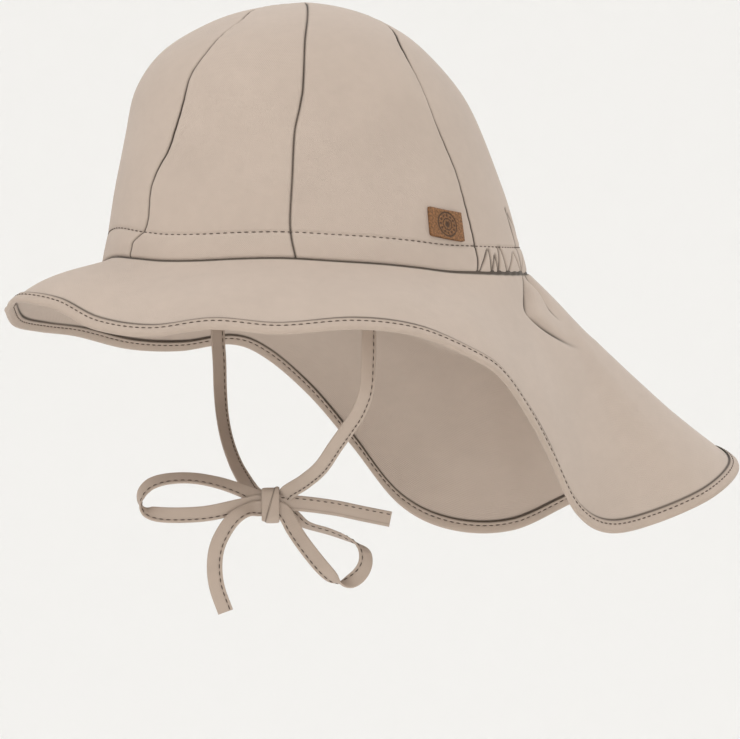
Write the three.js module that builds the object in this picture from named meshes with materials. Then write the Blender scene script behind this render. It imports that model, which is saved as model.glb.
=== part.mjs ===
// A toddler's sun cap with a neck flap, tied under the chin.
// Six cotton panels make the crown. One ring of cotton is the brim in front and the flap behind,
// and a folded tape binds its hem. Two flat tapes, sewn in at the sides, meet in a bow.
// Millimetres. The front of the cap faces -Y, the wearer's left is +X and up is +Z.
// The origin is the centre of the head opening, level with the seam between crown and brim.

import * as THREE from 'three';
import { mergeVertices } from 'three/addons/utils/BufferGeometryUtils.js';

// Head opening and crown
const bandHalfWidth = 71;
const bandHalfLength = 88;
const crownHeight = 104.8;
const crownCloth = 1.2;
const crownVent = 1.6;
const casingHeight = 10.6;
const seamSag = 5.2;
const gatherDepth = 1.7;
const pleatDepth = 2.2;

// Brim and neck flap
const brimReach = 43.4;
const sideReach = 38;
const flapReach = 97;
const brimDrop = 32.4;
const flapDrop = 107.4;
const brimArch = 3.2;
const archTowardsHem = 1.4;
const brimCloth = 1;
const flapFoldDepth = 3.4;
const foldTowardsSeam = 0.6;
const gatherPuff = 2;
const puffLength = 0.7;
const puffStart = 45;
const puffFull = 62;

// Folded tape round the hem
const bindingWidth = 5.2;
const bindingCloth = 1;

// Chin ties and bow
const tieWidth = 6.2;
const tieThickness = 1;
const knotLength = 7;
const knotWall = 0.8;
const strandsInKnot = 4;
const strandsApart = 3;
const knotPlace = new THREE.Vector3(0, -20, -96);
const bowTurn = THREE.MathUtils.degToRad(27);

// Leather patch
const patchWidth = 17.4;
const patchHeight = 11.5;
const patchLeather = 1.2;
const patchAngle = 17.6;
const patchTilt = THREE.MathUtils.degToRad(-5.2);
const patchClearOfStitches = 2;

// Clearance between neighbouring pieces
const clearance = 0.3;

// Materials
const cottonColour = 0xbdada0;
const cottonRoughness = 0.9;
const tapeColour = 0xb9a89b;
const tapeRoughness = 0.88;
const leatherColour = 0x876341;
const leatherRoughness = 0.62;

// Horizontal sections of the crown, from the seam to the top.
// rise is a share of crownHeight, front and back of bandHalfLength, side of bandHalfWidth.
// The last three columns are where the three seams of the left half cross the section, in degrees
// round it from the wearer's left towards the back.
const crownSections = [
  { rise: 0.00, front: 1.000, back: 1.000, side: 1.000, seamFront: -81.0, seamFore: -27.0, seamAft: 26.7 },
  { rise: 0.10, front: 0.975, back: 0.964, side: 0.975, seamFront: -76.2, seamFore: -28.5, seamAft: 28.2 },
  { rise: 0.30, front: 0.936, back: 0.886, side: 0.940, seamFront: -74.6, seamFore: -27.7, seamAft: 27.1 },
  { rise: 0.50, front: 0.884, back: 0.779, side: 0.900, seamFront: -68.4, seamFore: -26.3, seamAft: 24.7 },
  { rise: 0.67, front: 0.827, back: 0.653, side: 0.845, seamFront: -66.7, seamFore: -22.8, seamAft: 24.2 },
  { rise: 0.81, front: 0.706, back: 0.491, side: 0.730, seamFront: -62.8, seamFore: -21.3, seamAft: 28.0 },
  { rise: 0.91, front: 0.505, back: 0.311, side: 0.540, seamFront: -64.0, seamFore: -21.0, seamAft: 47.0 },
  { rise: 0.97, front: 0.305, back: 0.129, side: 0.330, seamFront: -78.0, seamFore: -21.0, seamAft: 57.0 },
  { rise: 1.00, front: 0.055, back: -0.055, side: 0.000, seamFront: -85.0, seamFore: -21.0, seamAft: 61.0 },
];

// The hem, from the front of the brim round the wearer's left to the back of the flap.
// out is the sideways reach past the head opening, a share of sideReach. along is the reach
// lengthwise, a share of brimReach before the ears and of flapReach behind them. dropLeft and
// dropRight are shares of brimDrop before the ears and of flapDrop behind them. arch is a share of
// brimArch, and seam a share of seamSag, the dip of the seam above this part of the hem.
const hemRows = [
  { angle: -90, out: 0.00, along: -0.975, dropLeft: 0.539, dropRight: 0.539, arch: 1.0, seam: -0.20 },
  { angle: -77, out: 0.18, along: -0.892, dropLeft: 0.648, dropRight: 0.615, arch: 1.0, seam: 0.05 },
  { angle: -66, out: 0.36, along: -0.826, dropLeft: 0.905, dropRight: 0.621, arch: 1.0, seam: 0.30 },
  { angle: -54, out: 0.59, along: -0.740, dropLeft: 1.010, dropRight: 0.754, arch: 1.0, seam: 0.35 },
  { angle: -42, out: 0.75, along: -0.595, dropLeft: 0.930, dropRight: 0.795, arch: 1.0, seam: 0.25 },
  { angle: -30, out: 0.87, along: -0.440, dropLeft: 0.990, dropRight: 0.825, arch: 0.9, seam: 0.22 },
  { angle: -16, out: 0.96, along: -0.240, dropLeft: 0.925, dropRight: 0.965, arch: 0.9, seam: 0.42 },
  { angle: -4, out: 1.00, along: -0.075, dropLeft: 1.010, dropRight: 0.975, arch: 0.9, seam: 0.58 },
  { angle: 6, out: 0.98, along: 0.048, dropLeft: 0.380, dropRight: 0.265, arch: 1.0, seam: 0.78 },
  { angle: 16, out: 0.945, along: 0.046, dropLeft: 0.450, dropRight: 0.320, arch: 1.2, seam: 1.00 },
  { angle: 26, out: 0.83, along: 0.066, dropLeft: 0.585, dropRight: 0.470, arch: 1.4, seam: 1.00 },
  { angle: 36, out: 0.75, along: 0.084, dropLeft: 0.737, dropRight: 0.664, arch: 1.6, seam: 0.95 },
  { angle: 46, out: 0.70, along: 0.142, dropLeft: 0.930, dropRight: 0.892, arch: 1.6, seam: 0.87 },
  { angle: 55, out: 0.685, along: 0.253, dropLeft: 1.000, dropRight: 0.988, arch: 1.2, seam: 0.75 },
  { angle: 64, out: 0.757, along: 0.445, dropLeft: 0.964, dropRight: 0.988, arch: 0.5, seam: 0.62 },
  { angle: 72, out: 0.92, along: 0.684, dropLeft: 0.868, dropRight: 0.877, arch: -0.1, seam: 0.52 },
  { angle: 81, out: 0.63, along: 0.912, dropLeft: 0.756, dropRight: 0.740, arch: -0.6, seam: 0.40 },
  { angle: 90, out: 0.00, along: 1.000, dropLeft: 0.687, dropRight: 0.687, arch: -0.8, seam: 0.33 },
];

// Gathers that the elastic draws into the two back panels, mirrored on the right.
// halfWidth is in degrees, height a share of casingHeight and depth a share of gatherDepth.
const gathers = [
  { angle: 30.5, halfWidth: 1.7, height: 1.38, depth: 0.8 },
  { angle: 36.0, halfWidth: 1.9, height: 0.94, depth: 0.8 },
  { angle: 42.0, halfWidth: 2.1, height: 1.50, depth: 1.0 },
  { angle: 49.0, halfWidth: 2.3, height: 1.19, depth: 1.0 },
  { angle: 57.0, halfWidth: 2.4, height: 1.44, depth: 1.0 },
  { angle: 65.0, halfWidth: 2.4, height: 1.06, depth: 0.9 },
  { angle: 73.5, halfWidth: 2.5, height: 1.50, depth: 1.0 },
  { angle: 82.5, halfWidth: 2.5, height: 1.19, depth: 0.9 },
];

// Folds of the flap below the gathered seam, mirrored on the right. The route of a fold says at which
// share of the way to the hem it crosses which angle. halfWidth is in degrees and depth a share of
// flapFoldDepth.
const flapFolds = [
  {
    halfWidth: 3.2,
    depth: 0.80,
    route: [
      { share: 0.00, angle: 56.5 },
      { share: 0.07, angle: 52.8 },
      { share: 0.14, angle: 49.3 },
      { share: 0.17, angle: 49.8 },
      { share: 0.24, angle: 57.3 },
      { share: 0.33, angle: 68.5 },
    ],
  },
  {
    halfWidth: 2.6,
    depth: 0.55,
    route: [
      { share: 0.00, angle: 60.0 },
      { share: 0.08, angle: 63.8 },
      { share: 0.16, angle: 63.6 },
      { share: 0.21, angle: 65.5 },
    ],
  },
  {
    halfWidth: 3.6,
    depth: 0.50,
    route: [
      { share: 0.00, angle: 84.0 },
      { share: 0.17, angle: 84.0 },
      { share: 0.34, angle: 82.0 },
    ],
  },
];

// One pleat in each back panel, up from the gathers. It leans from the angle at its foot to the one at
// its top, and height is a share of casingHeight.
const pleat = { foot: 55, top: 57, halfWidth: 2.2, height: 2.5 };

// Route of the left tie from the band, through the knot, round the left loop, back through the knot
// and out to its free end. across, toward and up are millimetres from the knot's centre, across the
// bow, out of its face and upwards. lean turns the tape about its own run, in degrees.
const leftTieRoute = [
  { across: 39.3, toward: 55.1, up: 100.0, lean: -27 },
  { across: 39.6, toward: 55.7, up: 91.0, lean: -27 },
  { across: 39.4, toward: 55.9, up: 79.0, lean: -27 },
  { across: 39.1, toward: 55.6, up: 67.0, lean: -27 },
  { across: 38.9, toward: 55.0, up: 55.4, lean: -26 },
  { across: 38.0, toward: 52.0, up: 43.5, lean: -24 },
  { across: 34.9, toward: 46.0, up: 35.4, lean: -22 },
  { across: 31.1, toward: 40.0, up: 29.7, lean: -20 },
  { across: 25.8, toward: 31.0, up: 22.4, lean: -18 },
  { across: 20.2, toward: 21.0, up: 14.5, lean: -14 },
  { across: 13.6, toward: 11.0, up: 9.0, lean: -8 },
  { across: 7.0, toward: 3.5, up: 5.0, lean: -3 },
  { across: 3.8, toward: -0.65, up: 2.4, lean: 0 },
  { across: -3.8, toward: -0.65, up: 2.4, lean: 0 },
  { across: -11.0, toward: -2.2, up: 5.5, lean: 32 },
  { across: -21.0, toward: -3.2, up: 8.8, lean: 44 },
  { across: -31.3, toward: -3.4, up: 10.6, lean: 48 },
  { across: -40.9, toward: -3.0, up: 10.3, lean: 46 },
  { across: -47.4, toward: -2.2, up: 8.4, lean: 42 },
  { across: -50.6, toward: -1.4, up: 5.4, lean: 48 },
  { across: -51.6, toward: -0.6, up: 2.1, lean: 66 },
  { across: -51.1, toward: 0.2, up: -0.7, lean: 96 },
  { across: -48.6, toward: 1.0, up: -2.9, lean: 138 },
  { across: -43.0, toward: 1.6, up: -4.0, lean: 168 },
  { across: -33.1, toward: 2.0, up: -4.1, lean: 178 },
  { across: -24.0, toward: 2.0, up: -3.3, lean: 180 },
  { across: -12.9, toward: 1.4, up: -0.9, lean: 180 },
  { across: -3.8, toward: 0.65, up: 0.9, lean: 180 },
  { across: 3.8, toward: 0.65, up: 0.9, lean: 180 },
  { across: 12.4, toward: 1.2, up: 0.4, lean: 186 },
  { across: 25.6, toward: 1.6, up: -1.3, lean: 190 },
  { across: 36.3, toward: 1.8, up: -3.5, lean: 190 },
  { across: 47.7, toward: 2.0, up: -5.8, lean: 186 },
];

// Route of the right tie: the band, the knot, the right loop, the knot and the lower free end.
const rightTieRoute = [
  { across: -21.5, toward: -64.2, up: 100.0, lean: -27 },
  { across: -21.8, toward: -64.8, up: 91.0, lean: -27 },
  { across: -22.2, toward: -64.9, up: 81.0, lean: -27 },
  { across: -22.8, toward: -64.6, up: 71.2, lean: -27 },
  { across: -22.1, toward: -64.0, up: 59.1, lean: -30 },
  { across: -21.6, toward: -60.5, up: 46.3, lean: -34 },
  { across: -20.5, toward: -53.0, up: 36.0, lean: -38 },
  { across: -18.2, toward: -42.0, up: 26.0, lean: -38 },
  { across: -14.5, toward: -30.0, up: 16.5, lean: -34 },
  { across: -10.3, toward: -18.0, up: 9.3, lean: -20 },
  { across: -8.7, toward: -10.0, up: 7.0, lean: -10 },
  { across: -7.4, toward: -4.9, up: 5.3, lean: -4 },
  { across: -5.8, toward: -2.4, up: 3.8, lean: 0 },
  { across: -3.8, toward: -1.95, up: 2.3, lean: 0 },
  { across: 3.8, toward: -1.95, up: -1.2, lean: 0 },
  { across: 7.8, toward: -2.3, up: -3.9, lean: 14 },
  { across: 14.1, toward: -3.2, up: -7.9, lean: 62 },
  { across: 23.6, toward: -3.2, up: -10.8, lean: 70 },
  { across: 30.0, toward: -3.0, up: -13.3, lean: 78 },
  { across: 34.7, toward: -2.4, up: -15.9, lean: 96 },
  { across: 37.5, toward: -1.6, up: -19.2, lean: 136 },
  { across: 37.6, toward: -0.8, up: -23.6, lean: 156 },
  { across: 35.4, toward: 0.0, up: -27.7, lean: 176 },
  { across: 31.6, toward: 0.8, up: -30.6, lean: 212 },
  { across: 28.0, toward: 1.6, up: -31.2, lean: 262 },
  { across: 24.6, toward: 2.2, up: -28.9, lean: 318 },
  { across: 19.7, toward: 2.6, up: -23.9, lean: 350 },
  { across: 13.3, toward: 2.8, up: -15.8, lean: 360 },
  { across: 9.0, toward: 2.7, up: -9.4, lean: 360 },
  { across: 6.3, toward: 2.3, up: -4.4, lean: 360 },
  { across: 3.8, toward: 1.95, up: -1.9, lean: 360 },
  { across: -3.8, toward: 1.95, up: -1.5, lean: 360 },
  { across: -9.3, toward: 4.6, up: -2.3, lean: 394 },
  { across: -14.8, toward: 4.8, up: -5.9, lean: 380 },
  { across: -19.2, toward: 4.2, up: -12.3, lean: 366 },
  { across: -21.5, toward: 3.6, up: -18.4, lean: 360 },
  { across: -22.1, toward: 3.0, up: -25.9, lean: 360 },
  { across: -21.0, toward: 3.0, up: -33.4, lean: 360 },
  { across: -17.7, toward: 3.0, up: -42.6, lean: 360 },
];

// How finely each cloth is divided
const frontPanelColumns = 9;
const backPanelColumns = 40;
const panelRows = 9;
const hemColumns = 108;
const brimRows = 6;
const patchColumns = 6;
const patchRows = 4;
const knotCornerSteps = 3;
const columnsBehindEars = 0.68;
const slopeStep = 1e-3;
const weldDistance = 1e-4;
const halvings = 40;

const toRadians = THREE.MathUtils.degToRad;
const backCentre = 90;

// A smooth curve through rows at uneven places; at and value name the columns.
function throughRows(rows, at, value) {
  const places = rows.map((row) => row[at]);
  const values = rows.map((row) => row[value]);
  const last = rows.length - 1;
  const slope = (i) => {
    const before = Math.max(i - 1, 0);
    const after = Math.min(i + 1, last);
    return (values[after] - values[before]) / (places[after] - places[before]);
  };
  return (place) => {
    let i = 0;
    while (i < last - 1 && place > places[i + 1]) i += 1;
    const span = places[i + 1] - places[i];
    const t = (place - places[i]) / span;
    const t2 = t * t;
    const t3 = t2 * t;
    return (2 * t3 - 3 * t2 + 1) * values[i] + (t3 - 2 * t2 + t) * span * slope(i)
      + (3 * t2 - 2 * t3) * values[i + 1] + (t3 - t2) * span * slope(i + 1);
  };
}

function bandPoint(angle) {
  return {
    x: bandHalfWidth * Math.cos(toRadians(angle)),
    y: bandHalfLength * Math.sin(toRadians(angle)),
  };
}

// The hem's rows as places in millimetres, left half and mirrored right half, with one row more at
// each end so that the curve closes smoothly.
function hemRing() {
  const left = hemRows.map((row) => {
    const band = bandPoint(row.angle);
    const lengthwise = row.angle < 0 ? brimReach : flapReach;
    const drop = row.angle < 0 ? brimDrop : flapDrop;
    return {
      angle: row.angle,
      x: band.x + row.out * sideReach,
      y: band.y + row.along * lengthwise,
      leftDrop: row.dropLeft * drop,
      rightDrop: row.dropRight * drop,
      arch: row.arch * brimArch,
      sag: row.seam * seamSag,
    };
  });
  const half = left.map((row) => ({ ...row, z: -row.leftDrop }));
  const other = left.slice(1, -1).reverse().map((row) => ({
    ...row,
    angle: 2 * backCentre - row.angle,
    x: -row.x,
    z: -row.rightDrop,
  }));
  const ring = [...half, ...other];
  const turn = (row, turns) => ({ ...row, angle: row.angle + 360 * turns });
  const lead = ring.slice(-2).map((row) => turn(row, -1));
  const tail = ring.slice(0, 3).map((row) => turn(row, 1));
  return [...lead, ...ring, ...tail];
}

const ring = hemRing();
const hemX = throughRows(ring, 'angle', 'x');
const hemY = throughRows(ring, 'angle', 'y');
const hemZ = throughRows(ring, 'angle', 'z');
const archAt = throughRows(ring, 'angle', 'arch');
const sagAt = throughRows(ring, 'angle', 'sag');

const sections = crownSections.map((row, index) => ({ ...row, index }));
const lastSection = sections.length - 1;
const riseAt = throughRows(sections, 'index', 'rise');
const frontAt = throughRows(sections, 'index', 'front');
const backAt = throughRows(sections, 'index', 'back');
const sideAt = throughRows(sections, 'index', 'side');
const seamFrontAt = throughRows(sections, 'index', 'seamFront');
const seamForeAt = throughRows(sections, 'index', 'seamFore');
const seamAftAt = throughRows(sections, 'index', 'seamAft');

// Angle folded onto the left half, from -90 in front to 90 behind.
function mirrored(angle) {
  const turned = ((angle + 90) % 360 + 360) % 360 - 90;
  return turned > backCentre ? 2 * backCentre - turned : turned;
}

function hump(distance, halfWidth) {
  return Math.exp(-((distance / halfWidth) ** 2));
}

// Depth of the gathers and the pleat at an angle, at a height above the seam.
function gatherAt(angle, above) {
  const side = mirrored(angle);
  const drawn = gathers.reduce((sum, fold) => {
    const fade = 1 - THREE.MathUtils.smoothstep(above, 0, fold.height * casingHeight);
    return sum + fold.depth * gatherDepth * fade * hump(side - fold.angle, fold.halfWidth);
  }, 0);
  const pleatHeight = pleat.height * casingHeight;
  const climb = THREE.MathUtils.clamp(above / pleatHeight, 0, 1);
  const pleatAngle = THREE.MathUtils.lerp(pleat.foot, pleat.top, climb);
  const halfwayDeepest = 4 * climb * (1 - climb);
  const pleated = pleatDepth * halfwayDeepest * hump(side - pleatAngle, pleat.halfWidth);
  return drawn + pleated;
}

// Outer face of the crown, at a section and an angle.
function crownPoint(section, angle) {
  const rise = riseAt(section);
  const front = frontAt(section) * bandHalfLength;
  const back = backAt(section) * bandHalfLength;
  const turn = toRadians(angle);
  const above = rise * crownHeight;
  const inward = gatherAt(angle, above);
  const halfWidth = Math.max(sideAt(section) * bandHalfWidth - inward, 0);
  const halfLength = Math.max((front + back) / 2 - inward, 0);
  return new THREE.Vector3(
    halfWidth * Math.cos(turn),
    (back - front) / 2 + halfLength * Math.sin(turn),
    above - sagAt(angle < -90 ? angle + 360 : angle) * (1 - rise),
  );
}

// Middle of the brim's cloth: share 0 is the seam and share 1 the finished hem. Behind, the cloth
// puffs up below the gathers and sinks along the folds.
function brimPoint(angle, share) {
  const within = THREE.MathUtils.clamp(share, 0, 1);
  const seam = crownPoint(0, angle);
  seam.z -= clearance + brimCloth / 2;
  const hem = new THREE.Vector3(hemX(angle), hemY(angle), hemZ(angle));
  const run = hem.clone().sub(seam);
  const level = Math.hypot(run.x, run.y);
  const up = new THREE.Vector3(-run.z * run.x / level, -run.z * run.y / level, level);
  up.divideScalar(run.length());
  const archShape = Math.sin(Math.PI * within ** archTowardsHem);
  const side = mirrored(angle);
  const sunk = flapFolds.reduce((sum, fold) => {
    const { share: length } = fold.route.at(-1);
    const way = Math.min(within / length, 1);
    const place = throughRows(fold.route, 'share', 'angle')(way * length);
    const fade = Math.sin(Math.PI * way ** foldTowardsSeam);
    return sum + fold.depth * flapFoldDepth * fade * hump(side - place, fold.halfWidth);
  }, 0);
  const behindGathers = THREE.MathUtils.smoothstep(side, puffStart, puffFull);
  const puff = gatherPuff * behindGathers * Math.sin(Math.PI * Math.sqrt(Math.min(within / puffLength, 1)));
  return seam.addScaledVector(run, share).addScaledVector(up, archAt(angle) * archShape + puff - sunk);
}

// Outward normal of a surface given as a function of two parameters.
function normalOf(surface, u, v) {
  const alongU = surface(u + slopeStep, v).sub(surface(u - slopeStep, v));
  const alongV = surface(u, v + slopeStep).sub(surface(u, v - slopeStep));
  return alongU.cross(alongV).normalize();
}

function bodyFrom(points, triangles) {
  const geometry = new THREE.BufferGeometry();
  geometry.setAttribute('position', new THREE.Float32BufferAttribute(points.flatMap((p) => p.toArray()), 3));
  geometry.setIndex(triangles);
  const merged = mergeVertices(geometry, weldDistance);
  merged.computeVertexNormals();
  return merged;
}

// Two triangles for a four-cornered face, split from a to c or from b to d.
function split(a, b, c, d, fromA) {
  return fromA ? [a, b, c, a, c, d] : [a, b, d, b, c, d];
}

// A sheet of even thickness, closed along its edges. place(u, v) gives its two faces. Both are split
// from the lower row of one column to the higher row of the next.
function sheetBody(columns, rows, closed, place) {
  const outer = [];
  const inner = [];
  const wide = closed ? columns : columns + 1;
  for (let i = 0; i < wide; i += 1) {
    for (let j = 0; j <= rows; j += 1) {
      const faces = place(i / columns, j / rows);
      outer.push(faces.outer);
      inner.push(faces.inner);
    }
  }
  const points = [...outer, ...inner];
  const count = outer.length;
  const triangles = [];
  const wall = (a, b) => triangles.push(...split(b, a, a + count, b + count, true));
  for (let i = 0; i < columns; i += 1) {
    const here = i * (rows + 1);
    const next = ((i + 1) % wide) * (rows + 1);
    for (let j = 0; j < rows; j += 1) {
      triangles.push(...split(here + j, next + j, next + j + 1, here + j + 1, true));
      const [a, b] = [here + j + count, next + j + count];
      triangles.push(...split(b, a, a + 1, b + 1, false));
    }
    wall(here, next);
    wall(next + rows, here + rows);
  }
  if (!closed) {
    const end = columns * (rows + 1);
    for (let j = 0; j < rows; j += 1) {
      wall(j + 1, j);
      wall(end + j, end + j + 1);
    }
  }
  return bodyFrom(points, triangles);
}

// A ring or strip of closed sections: place(point, i) puts each point of the profile on section i.
// A face is split from its lower first coordinate on one section to its higher one on the next.
function sweptBody(profile, sectionsInRun, closed, place) {
  const loops = Array.from({ length: sectionsInRun }, (_, i) => profile.map((point) => place(point, i)));
  const points = loops.flat();
  const size = profile.length;
  const triangles = [];
  const joins = closed ? loops.length : loops.length - 1;
  for (let i = 0; i < joins; i += 1) {
    const here = i * size;
    const next = ((i + 1) % loops.length) * size;
    for (let j = 0; j < size; j += 1) {
      const k = (j + 1) % size;
      const rising = profile[j][0] <= profile[k][0];
      triangles.push(...split(here + j, here + k, next + k, next + j, rising));
    }
  }
  if (!closed) {
    const end = (loops.length - 1) * size;
    for (let j = 1; j < size - 1; j += 1) {
      triangles.push(0, j + 1, j);
      triangles.push(end, end + j, end + j + 1);
    }
  }
  return bodyFrom(points, triangles);
}

// One crown panel between two seams, each given as an angle at every section.
function crownPanel(seamA, seamB, columns) {
  const topSection = lastSection - crownVent / (crownSections[lastSection - 1].side * bandHalfWidth);
  const place = (u, v) => {
    const section = topSection * v;
    const from = seamA(section);
    const to = seamB(section);
    const reach = crownPoint(section, from).distanceTo(crownPoint(section, from + 1));
    const inset = clearance / 2 / reach;
    const angle = THREE.MathUtils.lerp(from + inset, to - inset, u);
    const surface = (a, s) => crownPoint(Math.max(s, 0), a);
    const outer = surface(angle, section);
    const normal = normalOf(surface, angle, Math.max(section, slopeStep));
    return { outer, inner: outer.clone().addScaledVector(normal, -crownCloth) };
  };
  return sheetBody(columns, panelRows, false, place);
}

// Angle of a column of the brim. Columns are closer together behind the ears than before them.
function hemAngle(u) {
  const behind = columnsBehindEars;
  return u < behind ? 180 * u / behind : 180 + 180 * (u - behind) / (1 - behind);
}

// Place on the brim at a distance inside the finished hem, raised along its normal.
function nearHem(angle, inset, raised) {
  const length = brimPoint(angle, 0).distanceTo(brimPoint(angle, 1));
  const share = 1 - inset / length;
  const normal = normalOf(brimPoint, angle, Math.min(share, 1 - slopeStep)).negate();
  return brimPoint(angle, share).addScaledVector(normal, raised);
}

function ringAngle(angle) {
  return angle >= 270 ? angle - 360 : angle;
}

function brimAndFlap() {
  const edge = bindingCloth + clearance;
  const place = (u, v) => {
    const angle = ringAngle(hemAngle(u));
    const length = brimPoint(angle, 0).distanceTo(brimPoint(angle, 1));
    const row = Math.round(v * brimRows);
    const inset = row === 0 ? edge : THREE.MathUtils.lerp(bindingWidth, length, (row - 1) / (brimRows - 1));
    return { outer: nearHem(angle, inset, brimCloth / 2), inner: nearHem(angle, inset, -brimCloth / 2) };
  };
  return sheetBody(hemColumns, brimRows, true, place);
}

// The folded tape: two arms over the faces of the cloth, joined round its edge.
function hemBinding() {
  const near = brimCloth / 2 + clearance;
  const far = near + bindingCloth;
  const floor = bindingCloth;
  const round = bindingCloth / 2;
  const profile = [
    [bindingWidth, far], [round, far], [0, far - round], [0, round - far], [round, -far],
    [bindingWidth, -far], [bindingWidth, -near], [floor, -near], [floor, near], [bindingWidth, near],
  ];
  const place = ([inset, raised], i) => nearHem(ringAngle(hemAngle(i / hemColumns)), inset, raised);
  return sweptBody(profile, hemColumns, true, place);
}

// Directions of the bow: across its face, out of its face and up.
const across = new THREE.Vector3(Math.sin(bowTurn), Math.cos(bowTurn), 0);
const toward = new THREE.Vector3(Math.cos(bowTurn), -Math.sin(bowTurn), 0);
const up = new THREE.Vector3(0, 0, 1);

// A flat tape along a route, with rounded edges.
function tape(route) {
  const points = route.map((row) => knotPlace.clone()
    .addScaledVector(across, row.across)
    .addScaledVector(toward, row.toward)
    .addScaledVector(up, row.up));
  const halfWidth = tieWidth / 2;
  const halfThick = tieThickness / 2;
  const flat = halfWidth - halfThick;
  const profile = [
    [halfWidth, halfThick / 2], [flat, halfThick], [-flat, halfThick], [-halfWidth, halfThick / 2],
    [-halfWidth, -halfThick / 2], [-flat, -halfThick], [flat, -halfThick], [halfWidth, -halfThick / 2],
  ];
  const place = ([a, b], i) => {
    const before = points[Math.max(i - 1, 0)];
    const after = points[Math.min(i + 1, points.length - 1)];
    const along = after.clone().sub(before).normalize();
    const flatWise = toward.clone().cross(along).normalize();
    const lean = toRadians(route[i].lean);
    const broad = flatWise.clone().multiplyScalar(Math.cos(lean))
      .addScaledVector(along.clone().cross(flatWise), Math.sin(lean));
    const thin = along.clone().cross(broad);
    return points[i].clone().addScaledVector(broad, a).addScaledVector(thin, b);
  };
  return sweptBody(profile, points.length, false, place);
}

// The knot: a short flat sleeve round the strands that pass through it.
function knotSleeve() {
  const strandPitch = tieThickness + clearance;
  const halfDepth = (strandsInKnot * strandPitch + clearance) / 2;
  const halfHeight = tieWidth / 2 + strandsApart;
  const outline = (path, depth, height, corner) => {
    path.moveTo(depth, -height + corner);
    path.lineTo(depth, height - corner);
    path.quadraticCurveTo(depth, height, depth - corner, height);
    path.lineTo(-depth + corner, height);
    path.quadraticCurveTo(-depth, height, -depth, height - corner);
    path.lineTo(-depth, -height + corner);
    path.quadraticCurveTo(-depth, -height, -depth + corner, -height);
    path.lineTo(depth - corner, -height);
    path.quadraticCurveTo(depth, -height, depth, -height + corner);
    return path;
  };
  const shape = outline(new THREE.Shape(), halfDepth + knotWall, halfHeight + knotWall, 2 * knotWall);
  shape.holes.push(outline(new THREE.Path(), halfDepth, halfHeight, knotWall));
  const run = { depth: knotLength, bevelEnabled: false, curveSegments: knotCornerSteps };
  const sleeve = new THREE.ExtrudeGeometry(shape, run);
  sleeve.translate(0, 0, -knotLength / 2);
  return sleeve;
}

// A leather rectangle bent to the crown, just above the casing's stitches.
function leatherPatch() {
  const centreHeight = casingHeight + patchClearOfStitches + patchHeight / 2;
  const sectionAt = (height) => {
    let low = 0;
    let high = lastSection;
    for (let i = 0; i < halvings; i += 1) {
      const middle = (low + high) / 2;
      if (crownPoint(middle, patchAngle).z < height) low = middle;
      else high = middle;
    }
    return low;
  };
  const centre = sectionAt(centreHeight - seamSag);
  const perDegree = crownPoint(centre, patchAngle).distanceTo(crownPoint(centre, patchAngle + 1));
  const step = 0.1;
  const perSection = crownPoint(centre, patchAngle).distanceTo(crownPoint(centre + step, patchAngle)) / step;
  const surface = (a, b) => crownPoint(centre + b / perSection, patchAngle + a / perDegree);
  const place = (u, v) => {
    const wide = (u - 0.5) * patchWidth;
    const high = (v - 0.5) * patchHeight;
    const a = wide * Math.cos(patchTilt) - high * Math.sin(patchTilt);
    const b = wide * Math.sin(patchTilt) + high * Math.cos(patchTilt);
    const normal = normalOf(surface, a, b);
    const base = surface(a, b).addScaledVector(normal, clearance);
    return { outer: base.clone().addScaledVector(normal, patchLeather), inner: base };
  };
  return sheetBody(patchColumns, patchRows, false, place);
}

function cloth(colour, roughness) {
  return new THREE.MeshStandardMaterial({ color: colour, roughness, metalness: 0 });
}

const cotton = () => cloth(cottonColour, cottonRoughness);
const cottonTape = () => cloth(tapeColour, tapeRoughness);

function piece(name, geometry, material) {
  const mesh = new THREE.Mesh(geometry, material);
  mesh.name = name;
  return mesh;
}

const turned = (seam) => (section) => 2 * backCentre - seam(section);
const atBack = () => backCentre;
const frontFromRight = (section) => 360 + seamFrontAt(section);

const sideRight = crownPanel(turned(seamAftAt), turned(seamForeAt), frontPanelColumns);
const frontRight = crownPanel(turned(seamForeAt), frontFromRight, frontPanelColumns);

const cap = new THREE.Group();
cap.add(
  piece('crown_panel_front_left', crownPanel(seamFrontAt, seamForeAt, frontPanelColumns), cotton()),
  piece('crown_panel_side_left', crownPanel(seamForeAt, seamAftAt, frontPanelColumns), cotton()),
  piece('crown_panel_back_left', crownPanel(seamAftAt, atBack, backPanelColumns), cotton()),
  piece('crown_panel_back_right', crownPanel(atBack, turned(seamAftAt), backPanelColumns), cotton()),
  piece('crown_panel_side_right', sideRight, cotton()),
  piece('crown_panel_front_right', frontRight, cotton()),
  piece('brim_and_neck_flap', brimAndFlap(), cotton()),
  piece('hem_binding', hemBinding(), cottonTape()),
  piece('chin_tie_left', tape(leftTieRoute), cottonTape()),
  piece('chin_tie_right', tape(rightTieRoute), cottonTape()),
  piece('leather_patch', leatherPatch(), cloth(leatherColour, leatherRoughness)),
);

const knot = piece('bow_knot', knotSleeve(), cottonTape());
knot.position.copy(knotPlace);
knot.quaternion.setFromRotationMatrix(new THREE.Matrix4().makeBasis(toward, up, across.clone().negate()));
cap.add(knot);

export default cap;
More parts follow.
